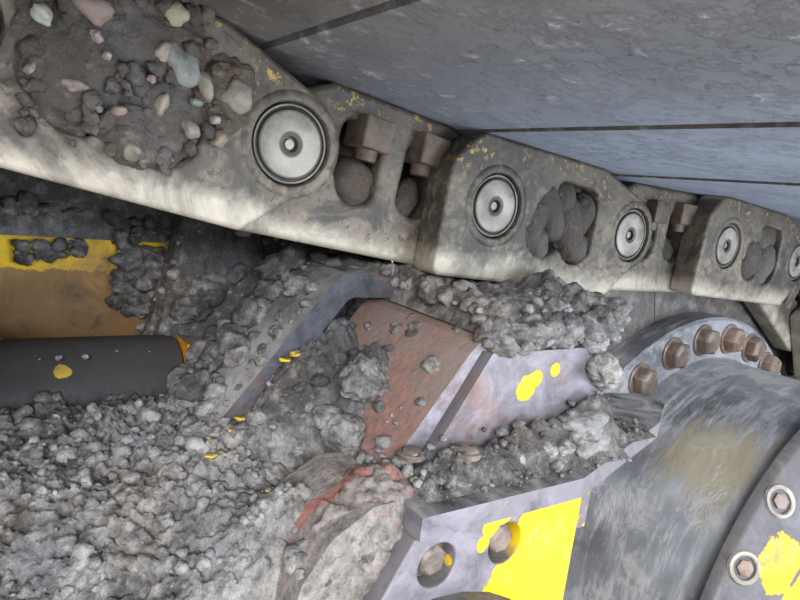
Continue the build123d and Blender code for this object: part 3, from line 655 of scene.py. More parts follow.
def drum_housing():
    """Dark blue-grey housing, scuffed along its turn, with rubs of old paint and splashes of soil."""
    n = Nodes("drive_housing_scuffed")
    stretch = n.add("ShaderNodeMapping", Vector=n.place())
    stretch.inputs["Scale"].default_value = (1.0, 5.0, 1.0)
    scuff = n.noise(14, 9, 0.75, stretch.outputs["Vector"])
    cloud = n.noise(5, 7, 0.65)
    fine = n.noise(90, 8, 0.7)
    color = n.mix(n.ramp(cloud, 0.35, 0.65), (0.06, 0.064, 0.072), (0.24, 0.252, 0.28))
    color = n.lay(color, scuff, 0.5, 0.66, (0.38, 0.39, 0.405), 0.65)
    rub = n.ramp(n.plus(n.distance(DRUM_RUB), n.ramp(scuff, 0.3, 0.7, -0.05, 0.05)), 0.075, 0.03, 0.0, 0.6)
    color = n.mix(rub, color, (0.34, 0.29, 0.18))
    splash = n.times(n.ramp(n.noise(17, 9, 0.7, distortion=0.5), 0.5, 0.58), n.ramp(cloud, 0.42, 0.55))
    color = n.mix(n.times(splash, 0.75), color, (0.26, 0.255, 0.25))
    normal = n.bump(splash, 0.4, 0.002, n.bump(scuff, 0.3, 0.002, n.bump(fine, 0.3, 0.0015)))
    return n.finish(color, n.ramp(scuff, 0.35, 0.65, 0.35, 0.7), normal, n.ramp(splash, 0.0, 1.0, 0.25, 0.0))


def pale_floor():
    n = Nodes("floor_pale")
    return n.finish((0.78, 0.77, 0.75), 0.85)


def crust_with_paint():
    """Tan-grey crust with patches of old red and pink paint."""
    n = Nodes("crust_with_red")
    cloud = n.noise(24, 8, 0.68, distortion=0.4)
    fine = n.noise(110, 8, 0.74)
    color = n.mix(n.ramp(fine, 0.36, 0.62), (0.1, 0.092, 0.09), (0.3, 0.27, 0.25))
    color = n.lay(color, cloud, 0.52, 0.6, (0.33, 0.13, 0.1), 0.85)
    color = n.lay(color, n.noise(45, 6, 0.7), 0.58, 0.66, MUD_DARK)
    return n.finish(color, 0.85, n.bump(fine, 0.9, 0.005, n.bump(cloud, 0.6, 0.008)))


mat_shoe = shoe_plate()
mat_link = link_plate()
mat_pin = pin_face()
mat_worn = dusty_steel("worn_steel", (0.11, 0.1, 0.094), MUD_MID, 0.3, 0.6, 0.4)
mat_nut = dusty_steel("nut_steel", (0.07, 0.052, 0.04), (0.15, 0.12, 0.092), 0.08)
mat_bolt = dusty_steel("bolt_rusty", (0.1, 0.078, 0.066), (0.2, 0.172, 0.15), 0.5, 0.2, 0.4)
mat_drive = drum_housing()
mat_bare = two_sided_plate("ramp_plate", (0.06, 0.065, 0.085), (0.1, 0.1, 0.105), MUD_DRY, 0.75)
mat_hood = two_sided_plate("hood_plate", (0.2, 0.185, 0.22), RED_BROWN, (0.2, 0.165, 0.15), 0.7)
mat_yellow = chipped_paint("yellow_paint_chipped")
mat_flake = chipped_paint("loose_flakes", YELLOW, 0.3, 0.4)
mat_orange = chipped_paint("bracket_paint", ORANGE, 0.5, 0.35, (0.1, 0.07, 0.05))
mat_black = chipped_paint(
    "black_paint_chipped", YELLOW, -0.1, under=(0.03, 0.03, 0.034), top=(0.06, 0.057, 0.055),
    patches=((848, 62, 850, 9), (822, 60, 853, 5), (795, 60, 855, 6)),
)
mat_cheek = chipped_paint(
    "cheek_paint", YELLOW, 0.4, line=(1119, 827, 0.795, -0.606),
    patches=(
        (1077, -235, 813, 7), (1071, -235, 802, 6), (1089, -235, 819, 6),
        (1108, -230, 803, 5), (1049, -229, 792, 5),
    ),
)
mat_guard = chipped_paint(
    "guard_paint_worn", YELLOW, 0.7, patches=((1182, -60, 836, 1),), top=(0.3, 0.3, 0.305)
)
mat_rib = chipped_paint(
    "rib_paint_worn", YELLOW, 0.3, patches=((1142, -188, 892, 10), (1152, -188, 899, 7), (1173, -188, 905, 5))
)
mat_beam = chipped_paint(
    "beam_paint_worn", YELLOW, 0.75, 0.3, (0.24, 0.14, 0.06),
    line=(900, 917, 0.0, 1.0), top=(0.33, 0.19, 0.08),
)
mat_drive_cover = chipped_paint(
    "cover_paint_worn", YELLOW, 0.3, under=(0.115, 0.11, 0.125),
    patches=((1452, -275, 712, 30), (1500, -285, 640, 60), (1700, -287, 420, 90)),
)
mat_crust = crust_with_paint()
mat_mud = soil("mud_grey")
mat_chain_mud = soil("mud_in_chain", -0.22, 0.3, 0.35)
mat_stone = stones_in_soil()

SLOT_MATERIALS = {
    "shoe_steel": mat_shoe,
    "link_steel": mat_link,
    "worn_steel": mat_worn,
    "drive_paint": mat_drive,
    "yellow_paint": mat_yellow,
    "bare_plate": mat_bare,
    "black_paint": mat_black,
}
NODE_MATERIALS = {
    "guard_hood": mat_hood,
    "guard_top": mat_guard,
    "guard_rib": mat_rib,
    "carrier_beam": mat_beam,
    "recoil_mount": mat_orange,
    "guard_shoulder": mat_crust,
}
# Widths of the rounded edges, in mm
EDGES = {"track_shoes": 1.2, "guard_hood": 2.0, "mud_ramp": 3.0, "guard_shoulder": 8.0, "guard_rib": 2.5}
OTHER_EDGE = 1.5


def dress_nodes():
    """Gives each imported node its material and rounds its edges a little."""
    for entry in frame["record"]["subparts"]:
        name = entry["node"]
        obj = frame["nodes"][name]
        obj.data.materials.clear()
        obj.data.materials.append(NODE_MATERIALS.get(name, SLOT_MATERIALS[entry["material_slot"]]))
        bevel = obj.modifiers.new("edges", "BEVEL")
        bevel.width = EDGES.get(name, OTHER_EDGE) * MM
        bevel.limit_method = "ANGLE"
        bevel.angle_limit = math.radians(32)
        bevel.segments = 2 if name in EDGES and name != "track_shoes" else 1


dress_nodes()


# Chain

# The outer plate's opening ends in two round lobes: x, z and radius
WINDOW_LOBES = ((70, -14, 25), (118, -18, 24))


def outer_outline():
    seat, rail, last, boss = (SEAT_RISE / MM - 0.3, -RAIL_DROP / MM, PITCH / MM, BOSS_R / MM)
    return rounded(mm([
        (-58, rail, 8), (last - 20, rail, 8), (last + boss * 0.95, -12, 30),
        (last + boss * 0.7, boss * 0.9, 30), (140, seat, 14), (-30, seat, 22), (-58, 32, 26),
    ]))


def outer_window():
    """Opening with two round lobes below and a point between them."""
    (x1, z1, r1), (x2, z2, r2) = WINDOW_LOBES
    points = []
    for x, z, r, start, end in ((x1, z1, r1, 180, 325), (x2, z2, r2, 215, 360)):
        for k in range(9):
            t = math.radians(start + (end - start) * k / 8)
            points.append((x + r * math.cos(t), z + r * math.sin(t)))
    upper = rounded([(142, -16, 0), (138, 36, 12), (48, 38, 10)])
    return mm(points + upper[1:])


INNER_WINDOWS = (
    [(53, -2, 16), (55, 37, 9), (95, 36, 9), (96, -24, 14), (66, -32, 18)],
    [(119, -22, 12), (120, 35, 9), (151, 30, 9), (158, -10, 14), (146, -30, 12)],
)


def inner_outline():
    seat, rail, last, boss = (SEAT_RISE / MM - 0.3, -RAIL_DROP / MM, PITCH / MM, BOSS_R / MM)
    return rounded(mm([
        (-boss, -4, 34), (-14, rail, 7), (last - 14, rail, 7), (last + boss, -4, 34),
        (last + 6, 36, 30), (last - 40, seat, 10), (40, seat, 10), (-6, 36, 30),
    ]))


def both_sides(gather, shape, place, tone):
    gather.add(shape, place, tone)
    gather.add(shape.mirrored(), place, tone)


def link_tone(rng):
    return (rng.random(), rng.random(), rng.random())


def pin_end():
    """Round end of a pin in its ringed seat, with the small plug at its middle."""
    face = -OUTER_PLATE[1] / MM + 0.8
    profile = [
        (0, 3.0), (3.4, 3.0), (4.2, 5.5), (5.0, 5.5), (5.6, 0.8), (7.0, 0.2), (22.2, 0.0), (24.0, 0.6),
        (24.8, 2.6), (25.6, 2.8), (26.2, 1.2), (27.4, 1.0), (28.2, 2.0), (28.8, 5.5), (30.5, 5.5),
    ]
    return lathe(mm([(r, face + y) for r, y in profile]), 32)


def pin_boss():
    """Low raised ring round a pin on the outer plate."""
    face = -OUTER_PLATE[1] / MM
    profile = [(29.2, 1.0), (29.8, -0.9), (31.2, -1.6), (34.5, -1.4), (37.5, 0.3), (38.2, 1.2)]
    return lathe(mm([(r, face + y) for r, y in profile]), 32)


def track_nut():
    """Square nut with chamfered edges, and the bolt's end under it."""
    half = 15 * MM
    corners = ((-half, -half), (half, -half), (half, half), (-half, half))
    square = rounded([(x, z, 3 * MM) for x, z in corners])
    body = plate([square], -13 * MM, 13 * MM, 2.2 * MM, 1)
    end = lathe(mm([(0, -22), (8.5, -22), (9.5, -20), (9.5, 0)]), 16)
    return body, end


TRACK_NUTS = ((80, -60, 30), (138, -60, 32))  # x, y and z on the link, in mm


def build_chain():
    rng = random.Random(4)
    outer, inner, pins, nuts = Gather(), Gather(), Gather(), Gather()
    pin_holes = [circle(0, 0, PIN_HOLE_R), circle(PITCH, 0, PIN_HOLE_R)]
    outlines = [outer_outline(), outer_window(), *pin_holes]
    outer_plate = plate(outlines, -OUTER_PLATE[1], -OUTER_PLATE[0], LINK_EDGE)
    windows = [rounded(mm(window)) for window in INNER_WINDOWS]
    inner_plate = plate([inner_outline(), *windows], -INNER_PLATE[1], -INNER_PLATE[0], 5 * MM, 3)
    boss, end = pin_boss(), pin_end()
    nut, bolt_end = track_nut()
    stand = Matrix.Rotation(math.pi / 2, 4, "X")
    for place in outer_links:
        tone = link_tone(rng)
        both_sides(outer, outer_plate, place, tone)
        for x in (0, PITCH):
            spot = place @ Matrix.Translation((x, 0, 0))
            both_sides(outer, boss, spot, tone)
            both_sides(pins, end, spot, link_tone(rng))
    for place in inner_links:
        both_sides(inner, inner_plate, place, link_tone(rng))
    for place in outer_links + inner_links:
        for seat in TRACK_NUTS:
            spot = place @ offset(*seat) @ Matrix.Rotation(rng.uniform(-0.12, 0.12), 4, "Z") @ stand
            for shape in (nut, bolt_end):
                nuts.add(shape.moved(spot), None, link_tone(rng))
    outer.make("links_outer", mat_link, "link_steel", replaces=["track_outer_links"])
    inner.make("links_inner", mat_link, "link_steel", replaces=["track_inner_links"])
    pins.make("pin_ends", mat_pin, "worn_steel")
    nuts.make("track_nuts", mat_nut, "link_steel")


# Mud and stones in the chain


def lump(gather, place, x, z, size, seed, tone, y=-80, lean=0.0, level=3, rough=0.25, crumbs=0.1):
    """Lump of soil at a link's own place, sized by its three half axes in mm."""
    turn = Matrix.Rotation(lean, 4, "Y")
    grow = Matrix.Diagonal((*(s * MM for s in size), 1))
    shape = clod(level, seed, rough, crumbs).moved(turn @ grow)
    gather.add(shape, place @ offset(x, y, z), tone)


# Packed mud in and between the plates; its dark tone is painted shade for the chain's dark inside
PACKED_MUD_IN_SHADE = -0.25  # tone


def fill_outer_window(gather, place, rng, proud):
    """Soil pressed into both lobes, as flush or as proud as the link shows it."""
    for (x, z, r), seed in zip(WINDOW_LOBES, (rng.random(), rng.random())):
        size = (r * 1.02, 22, r * 1.3)
        lump(gather, place, x, z + 4, size, seed, rng.uniform(0.0, 0.2), y=-76 - proud, rough=0.2)
    lump(gather, place, 94, 22, (44, 20, 22), rng.random(), 0.35, y=-74 - proud, rough=0.22)


def fill_inner_window(gather, place, rng):
    lump(gather, place, 74, -12, (21, 20, 22), rng.random(), PACKED_MUD_IN_SHADE, y=-46, rough=0.3)
    lump(gather, place, 136, -14, (14, 16, 18), rng.random(), PACKED_MUD_IN_SHADE, y=-44, rough=0.3)


def fill_between(gather, place, rng):
    """Soil that fills the space between the two rows of plates, made dark as painted shade."""
    lump(gather, place, 100, 4, (62, 30, 44), rng.random(), PACKED_MUD_IN_SHADE, y=0, rough=0.2, crumbs=0.05)


STONE_TONES = {
    "tan": (0.3, 0.23, 0.17),
    "pink": (0.26, 0.205, 0.17),
    "blue": (0.2, 0.21, 0.21),
    "pale": (0.42, 0.38, 0.33),
    "green": (0.22, 0.21, 0.15),
    "brown": (0.2, 0.14, 0.11),
}
# Stones seen in the left link's mud: x, z, half width, half height, lean, kind
LEFT_STONES = (
    (62, 52, 11, 8, 0.4, "pink"), (66, 33, 12, 11, 0.2, "brown"), (110, 48, 9, 9, 0.1, "tan"),
    (118, 22, 15, 13, 0.5, "blue"), (106, 25, 6, 8, 0.3, "tan"), (136, 14, 10, 6, 0.9, "tan"),
    (156, 16, 13, 12, 0.2, "pink"), (44, 18, 8, 5, 0.6, "pale"), (71, 18, 5, 4, 0.2, "pale"),
    (66, -12, 8, 4.5, -0.4, "tan"), (113, -6, 5, 9, 0.1, "tan"), (132, 3, 5.5, 4, 0.0, "blue"),
    (133, -14, 8, 6.5, 0.6, "pink"), (146, -3, 4.5, 4, 0.4, "pale"), (80, -20, 3, 3, 0.2, "pale"),
    (104, -38, 8, 6.5, 0.1, "green"), (44, -12, 3, 4.5, 0.5, "pink"), (91, -18, 5, 4, -0.5, "tan"),
    (104, 6, 3.5, 3, 0.3, "pink"), (152, -14, 6, 7, 0.5, "brown"), (78, 9, 3, 3, 0.1, "pale"),
)


def build_chain_mud():
    rng = random.Random(9)
    filling, stones = Gather(), Gather()
    for place in outer_links:
        if place is link_left:
            for x, z, size, tone in (
                (62, 2, (31, 20, 44), 0.15), (118, -8, (31, 20, 34), 0.08), (96, 34, (50, 20, 28), 0.2),
                (146, 14, (26, 19, 30), 0.22), (56, 50, (38, 20, 18), 0.12), (104, -30, (26, 19, 20), 0.05),
                (38, 20, (16, 16, 30), 0.2),
            ):
                lump(filling, place, x, z, size, rng.random(), tone, y=-83, level=5, rough=0.16, crumbs=0.14)
            for _ in range(170):
                x, z, size = rng.uniform(34, 166), rng.uniform(-44, 66), rng.choice((1.6, 2.2, 2.8, 3.6, 5.0))
                if x + abs(z - 10) * 0.9 < 172:
                    lump(filling, place, x, z, (size * rng.uniform(0.8, 1.5), size * 0.6, size), rng.random(),
                         rng.uniform(0.0, 0.35), y=-98 - rng.uniform(0, 3), lean=rng.uniform(0, 3),
                         level=2, rough=0.6, crumbs=0.4)
        elif place is link_middle:
            for x, z, size, lean in (
                (58, -4, (14, 17, 32), 0.25), (76, 8, (16, 18, 33), -0.5), (68, -28, (16, 15, 15), 0.0),
                (108, -6, (18, 18, 33), -0.35), (120, -24, (18, 17, 17), 0.1), (92, 20, (15, 16, 20), -0.2),
                (124, 8, (16, 16, 24), 0.1),
            ):
                lump(filling, place, x, z, size, rng.random(), rng.uniform(-0.05, 0.15),
                     y=-83, lean=lean, level=4, rough=0.16, crumbs=0.05)
        else:
            fill_outer_window(filling, place, rng, rng.uniform(0, 4))
        fill_between(filling, place, rng)
    for place in inner_links:
        fill_inner_window(filling, place, rng)
        fill_between(filling, place, rng)
    for i, (x, z, width, height, lean, kind) in enumerate(LEFT_STONES):
        grow = Matrix.Diagonal((width * 0.8 * MM, 6 * MM, height * 0.8 * MM, 1))
        grow = Matrix.Rotation(lean, 4, "Y") @ grow
        shade = tuple(c * rng.uniform(0.85, 1.15) for c in STONE_TONES[kind])
        stones.add(stone(i + 1).moved(grow), link_left @ offset(x, -101, z), shade)
    filling.make_soil("chain_mud", mat_chain_mud)
    stones.make_soil("chain_stones", mat_stone)


# Soil on the frame

FRAME_TOP = node_box("mud_ramp")[0].z  # the level part of the frame's top, under the guard
BED_CELL = 1.8 * MM


def bump_at(x, y, middle_x, middle_y, reach_x, reach_y, height):
    """Smooth round heap, by its middle, its reach and its height."""
    away = ((x - middle_x) / reach_x) ** 2 + ((y - middle_y) / reach_y) ** 2
    return height * math.exp(-away * 1.6)


# Heaps on the frame's top: x and y of the middle, reach along x and y, height, all in mm of the part's frame
HEAPS = (
    (1056, -104, 42, 38, 86),
    (1000, -66, 46, 30, 42),
    (1100, -20, 60, 60, 60),
    (1000, 138, 62, 56, 150),
    (966, 150, 36, 44, 95),
    (1165, 132, 56, 52, 150),
    (1044, -46, 44, 34, 66),
    (1092, 120, 66, 66, 140),
    (1030, 90, 46, 50, 50),
    (1150, 90, 40, 80, 60),
    (968, -168, 50, 34, 46),
    (760, 20, 60, 80, -22),
    (978, 62, 34, 36, -48),
)


def bed_height(x, y):
    """How deep the soil lies at a place, in metres."""
    inwards = min(1.0, max(0.0, (y / MM + 205) / 130))
    depth = (12 + 46 * inwards * inwards * (3 - 2 * inwards)) * MM
    for middle_x, middle_y, reach_x, reach_y, height in HEAPS:
        depth += bump_at(x / MM, y / MM, middle_x, middle_y, reach_x, reach_y, height) * MM
    spot = Vector((x, y, 0))
    depth += noise.fractal(spot * 9, 0.9, 2.1, 4) * 13 * MM
    coarse = 0.62 + noise.noise(spot * 13 + Vector((3.1, 0, 0))) * 1.1 + (y / MM + 60) / 200
    coarse = min(1.0, max(0.15, coarse))
    for scale, rise in ((42, 9 * coarse), (80, 9 * coarse), (160, 6.5), (330, 4)):
        depth += (crumb_depth(spot + Vector((0.37, 0.11, scale)), scale) - 0.5) * rise * MM
    depth += noise.noise(spot * 190) * 1.6 * MM
    return max(depth, 1 * MM)


def build_bed():
    low_x, high_x, low_y, high_y = 0.72, 1.172, -0.199, 0.168
    columns, rows = round((high_x - low_x) / BED_CELL), round((high_y - low_y) / BED_CELL)
    tones = []

    def corner(i, j):
        x, y = low_x + i * BED_CELL, low_y + j * BED_CELL
        # Darker inwards past y = 20 mm, and darker still round x 1040, y -40: painted shadow beside the hood
        # and heap
        shade = 0.5 - 0.45 * min(1.0, max(0.0, (y / MM - 20) / 60))
        tones.append(shade - bump_at(x / MM, y / MM, 1040, -40, 110, 90, 0.6))
        edge = min(i, columns - i, j, rows - j) * BED_CELL
        depth = bed_height(x, y) * min(1.0, edge / (9 * MM)) + (0.4 if edge else -0.6) * MM
        return x, y, FRAME_TOP + depth

    Gather().add(grid(columns, rows, corner), None, tones).make_soil("frame_mud")


# Clods placed one by one: x, y, z, size, seed of the shape, tone
LARGE_CLODS = (
    (1024, -62, 838, 31, 3, 0.8), (990, -84, 822, 18, 5, 0.6), (1040, -112, 884, 20, 8, 0.5),
    (1062, -88, 878, 17, 2, 0.4), (1000, -30, 838, 20, 6, 0.5), (1088, -118, 880, 20, 4, 0.45),
    (956, 10, 834, 16, 7, 0.5), (1013, -130, 850, 17, 12, 0.55), (970, -110, 806, 15, 14, 0.7),
    (1222, -196, 906, 14, 17, 0.95), (1233, -190, 897, 12, 18, 0.9), (1266, -150, 938, 22, 19, 0.6),
    (1284, -112, 926, 26, 20, 0.65), (1262, -96, 950, 18, 21, 0.5), (1196, -206, 862, 14, 23, 0.95),
    (1188, -214, 850, 13, 24, 0.9), (1203, -214, 852, 10, 25, 0.85), (1152, -206, 850, 9, 26, 0.9),
    (1166, -212, 848, 8, 27, 0.8), (1118, -214, 846, 5, 28, 0.9), (1110, -176, 934, 13, 29, 0.35),
    (1128, -178, 936, 11, 30, 0.4), (1146, -179, 935, 14, 31, 0.35), (1168, -178, 936, 12, 32, 0.4),
    (1189, -179, 934, 14, 33, 0.35), (1212, -178, 936, 13, 34, 0.4), (1236, -176, 936, 15, 35, 0.45),
    (1130, -60, 956, 15, 36, 0.3),
)


def build_clods():
    """Loose clods that lie on the soil, the large ones listed one by one and the rest at random."""
    rng = random.Random(21)
    large = Gather()
    for x, y, z, size, seed, tone in LARGE_CLODS:
        spot = clod_place(Vector((x, y, z)) * MM, size * MM, rng)
        large.add(clod(5 if size > 19 else 4, seed, 0.45, 0.3), spot, tone)
    large.make_soil("large_clods")
    loose = Gather()
    for _ in range(1500):
        x, y = rng.uniform(0.74, 1.16), rng.uniform(-0.19, 0.16)
        # Clods round x 1040, y -40 made darker as painted shadow beside the hood and heap
        pale = 0.95 - bump_at(x, y, 1.04, -0.04, 0.11, 0.09, 0.5)
        size = 1.8 if y > -0.11 else 1.3
        drop_clod(loose, x, y, FRAME_TOP + bed_height(x, y), rng, size, pale - 0.65, pale)
    loose.make_soil("loose_clods")


CLODS = [clod(3, k + 1, 0.6, 0.4) for k in range(6)]
SMALL_CLODS = [clod(2, k + 11, 0.65, 0.4) for k in range(8)]


def drop_clod(gather, x, y, z, rng, scale, low=0.3, high=0.95):
    """One clod of a chance size that lies on a surface at a place in metres."""
    size = min(0.5 + rng.expovariate(1.1), 4.0) * scale * MM
    shape = rng.choice(CLODS if size > 8 * MM else SMALL_CLODS)
    gather.add(shape, clod_place(Vector((x, y, z + size * 0.2)), size, rng), rng.uniform(low, high))


def strew(gather, rng, corner, along, across, count, scale, low=0.3, high=0.9, lean=1.0):
    """Clods on a flat face: its corner and two edges, in mm. A lean over 1 crowds them to the far edge."""
    corner, along, across = (Vector(v) * MM for v in (corner, along, across))
    for _ in range(count):
        at = corner + along * rng.random() + across * (1 - rng.random() ** lean)
        drop_clod(gather, *at, rng, scale, low, high)


def soft_heap(gather, low, high, top, cell, seed, tone=0.45):
    """Soil heaped on a level face: low and high corners in mm, and a function of its height there."""
    columns, rows = round((high[0] - low[0]) / cell), round((high[1] - low[1]) / cell)

    def corner(i, j):
        x, y = low[0] + i * cell, low[1] + j * cell
        spot = Vector((x, y, seed * 100.0)) * MM
        edge = min(1.0, min(i, columns - i, j, rows - j) * cell / 10)
        rise = top(x, y) * (1 + 0.5 * noise.fractal(spot * 16, 0.9, 2.1, 3))
        for scale, crumb in ((60, 9), (130, 5), (280, 2.5)):
            rise += (crumb_depth(spot, scale) - 0.5) * crumb
        return x * MM, y * MM, (low[2] + max(rise, 0.5) * edge - 0.3) * MM

    gather.add(grid(columns, rows, corner), None, tone)


# Soil that lies on the guard, the ramp, the bracket and the beam: a corner and two edges of a flat place
# in mm, how many clods, their size, and where they differ, their darkest and palest tone and the lean
STREWN = (
    ((1098, -172, 950), (150, 0, 0), (0, 150, 0), 200, 2.8),
    ((1030, -232, 837), (205, 0, 0), (0, 24, 6), 110, 0.9, 0.15, 0.6),
    ((1030, -214, 846), (205, 0, 24), (0, 22, 14), 70, 1.1, 0.0, 0.5),
    ((1096, -188, 924), (155, 0, 0), (0, 18, 22), 170, 2.2, 0.15, 0.7),
    ((1062, -172, 884), (40, 0, 46), (0, 150, 0), 60, 2.2, 0.3, 0.8),
    ((820, 166, 922), (52, 0, 12), (0, 0, 16), 90, 1.9, 0.0, 0.3),
    ((905, 166, 930), (22, 0, 8), (0, 0, 24), 60, 2.0, 0.0, 0.3),
    ((905, 164, 872), (56, 0, 0), (0, 0, 62), 140, 3.8, 0.0, 0.3),
    ((955, 168, 880), (76, 0, 66), (0, -70, 0), 170, 3.8, 0.0, 0.35),
    ((1240, -200, 842), (70, 0, 0), (0, 110, 0), 60, 1.2, 0.15, 0.6),
    ((1085, -60, 960), (40, 0, 0), (0, 100, 0), 60, 3.0, 0.2, 0.6),
    ((932, -50, 816), (112, 0, 142), (0, 100, 0), 120, 2.5, 0.2, 0.7, 2.0),
    ((905, 10, 790), (130, 0, 165), (0, 40, 0), 120, 3.4, 0.1, 0.6),
    ((1024, -174, 842), (70, 0, 84), (0, 150, 0), 90, 1.3, 0.15, 0.7, 1.5),
    ((720, 168, 985), (240, 0, -20), (0, 30, 0), 150, 3.4, 0.0, 0.3),
    ((950, 66, 868), (42, 0, 0), (0, 90, 0), 18, 1.8),
    ((790, 53, 858), (150, 0, 0), (0, 70, 0), 14, 1.6),
)


def build_guard_soil():
    """Soil that lies on the guard's plates, the ramp, the bracket and the beam behind them."""
    rng = random.Random(33)
    heaps, loose = Gather(), Gather()
    # Over the hood's level part, thickest at its rear
    soft_heap(heaps, (1096, -174, 934), (1250, -21), lambda x, y: 15 + 0.09 * (x - 1096), 2.4, 1, 0.4)
    # Over the ramp's level part
    soft_heap(heaps, (1052, -44, 958), (1114, 49), lambda x, y: 2, 3.0, 2, 0.35)
    # On the level plate: banked up against the rib, and thin on the part behind it
    soft_heap(heaps, (1026, -226, 836), (1240, -189),
              lambda x, y: 1.5 + (y + 226) / 37 * (14 + max(0, x - 1040) * 0.2), 2.2, 3, 0.1)
    soft_heap(heaps, (1238, -205, 836), (1312, -80),
              lambda x, y: 1 + 34 * bump_at(x, y, 1232, -190, 30, 40, 1), 2.6, 6, 0.1)
    # Along the beam's top, up to the chain's shadow
    soft_heap(heaps, (700, 168, 949), (1120, 202),
              lambda x, y: max(12, 84 - (x - 800) * 0.22 + max(0, 830 - x) * 0.3), 3.0, 4, 0.12)
    heaps.make_soil("guard_soil")
    for place in STREWN:
        strew(loose, rng, *place)
    loose.make_soil("guard_clods")


# Flakes of paint on the soil: x, y and size, in mm
FLAKES = ((958, -64, 6), (941, -73, 4), (934, -90, 5), (988, -57, 7), (1006, -55, 6), (940, -150, 4))


def build_flakes():
    """Flakes of paint that lie on the soil under the ramp."""
    rng = random.Random(12)
    flakes = Gather()
    for x, y, size in FLAKES:
        for _ in range(2):
            at = Vector((x + rng.uniform(-9, 9), y + rng.uniform(-8, 4), 0)) * MM
            at.z = FRAME_TOP + bed_height(at.x, at.y) + 2.5 * MM
            flakes.add(rng.choice(SMALL_CLODS), clod_place(at, size * rng.uniform(0.35, 0.8) * MM, rng, 0.4))
    flakes.make("paint_flakes", mat_flake, "yellow_paint", smooth=180)


def build_crust():
    """Crust over the casting in front of the guard, and the clods stuck to it."""
    rng = random.Random(5)
    crust, bits = Gather(), Gather()
    for x, y, z, size in (
        (1004, -196, 832, (20, 20, 15)), (1006, -206, 816, (24, 14, 24)), (998, -208, 790, (24, 13, 28)),
        (990, -209, 762, (22, 12, 28)), (984, -196, 806, (22, 20, 26)),
        (976, -200, 780, (22, 16, 26)),
    ):
        grow = offset(x, y, z) @ Matrix.Diagonal((*(s * MM for s in size), 1))
        crust.add(clod(5, rng.random() * 9, 0.3, 0.3), grow)
    crust.make_soil("guard_crust", mat_crust)
    strew(bits, rng, (945, -215, 800), (90, 0, 50), (0, 60, 0), 160, 1.8, 0.2, 0.8)
    bits.make_soil("crust_clods")


# Guard's plates, bolts and the drive

BOLT_WELLS = ((1033, 796), (1094, 797))  # x and z on the cheek, in mm
WELL_R = 15.5


def bolt_head(across_flats, height, washer=0.0):
    """Hexagonal head with a worn edge, facing -y, with a washer under it where asked; sizes in mm."""
    r = across_flats / 2 / math.cos(math.radians(30))
    head = [(0, -height * 0.96), (r * 0.72, -height), (r * 0.93, -height * 0.86), (r, -height * 0.72), (r, 0)]
    ring = [(0, -3.4), (washer - 1, -3.4), (washer, -2.4), (washer, 0)]
    return [lathe(mm(head), 6)] + ([lathe(mm(ring), 32)] if washer else [])


def build_cheek():
    """The guard's outer plate with its two sunk bolts."""
    low, high = node_box("guard_cheek")
    top = high.z / MM
    side = ((-740, 560), (-520, 560), (-480, 640), (-480, top), (-640, top), (-668, 770), (-740, 700))
    outline = rounded([(SPROCKET.x + x * MM, z * MM, 3 * MM) for x, z in side])
    wells = [circle(x * MM, z * MM, WELL_R * MM, 40) for x, z in BOLT_WELLS]
    cheek, bolts = Gather(), Gather()
    cheek.add(plate([outline, *wells], low.y, high.y, 1.6 * MM))
    cheek.make("cheek_plate", mat_cheek, "yellow_paint", replaces=["guard_cheek"])
    for x, z in BOLT_WELLS:
        floor = offset(x, high.y / MM - 2, z)
        bolts.add(lathe([(0, 0), (WELL_R * 1.02 * MM, 0)], 40), floor)
        for shape in bolt_head(20.5, 11, 13.2):
            bolts.add(shape, floor @ Matrix.Rotation(0.3 + x, 4, "Y"))
    # A nut and a hollow ring that lie on the level plate
    lay = Matrix.Rotation(-math.pi / 2, 4, "X")
    for x, y, z, size in ((1076, -201, 852, 17), (1034, -192, 853, 14)):
        for shape in bolt_head(size, 6, size * 0.72):
            bolts.add(shape, offset(x, y, z) @ lay)
    bolts.make("guard_bolts", mat_bolt, "worn_steel")


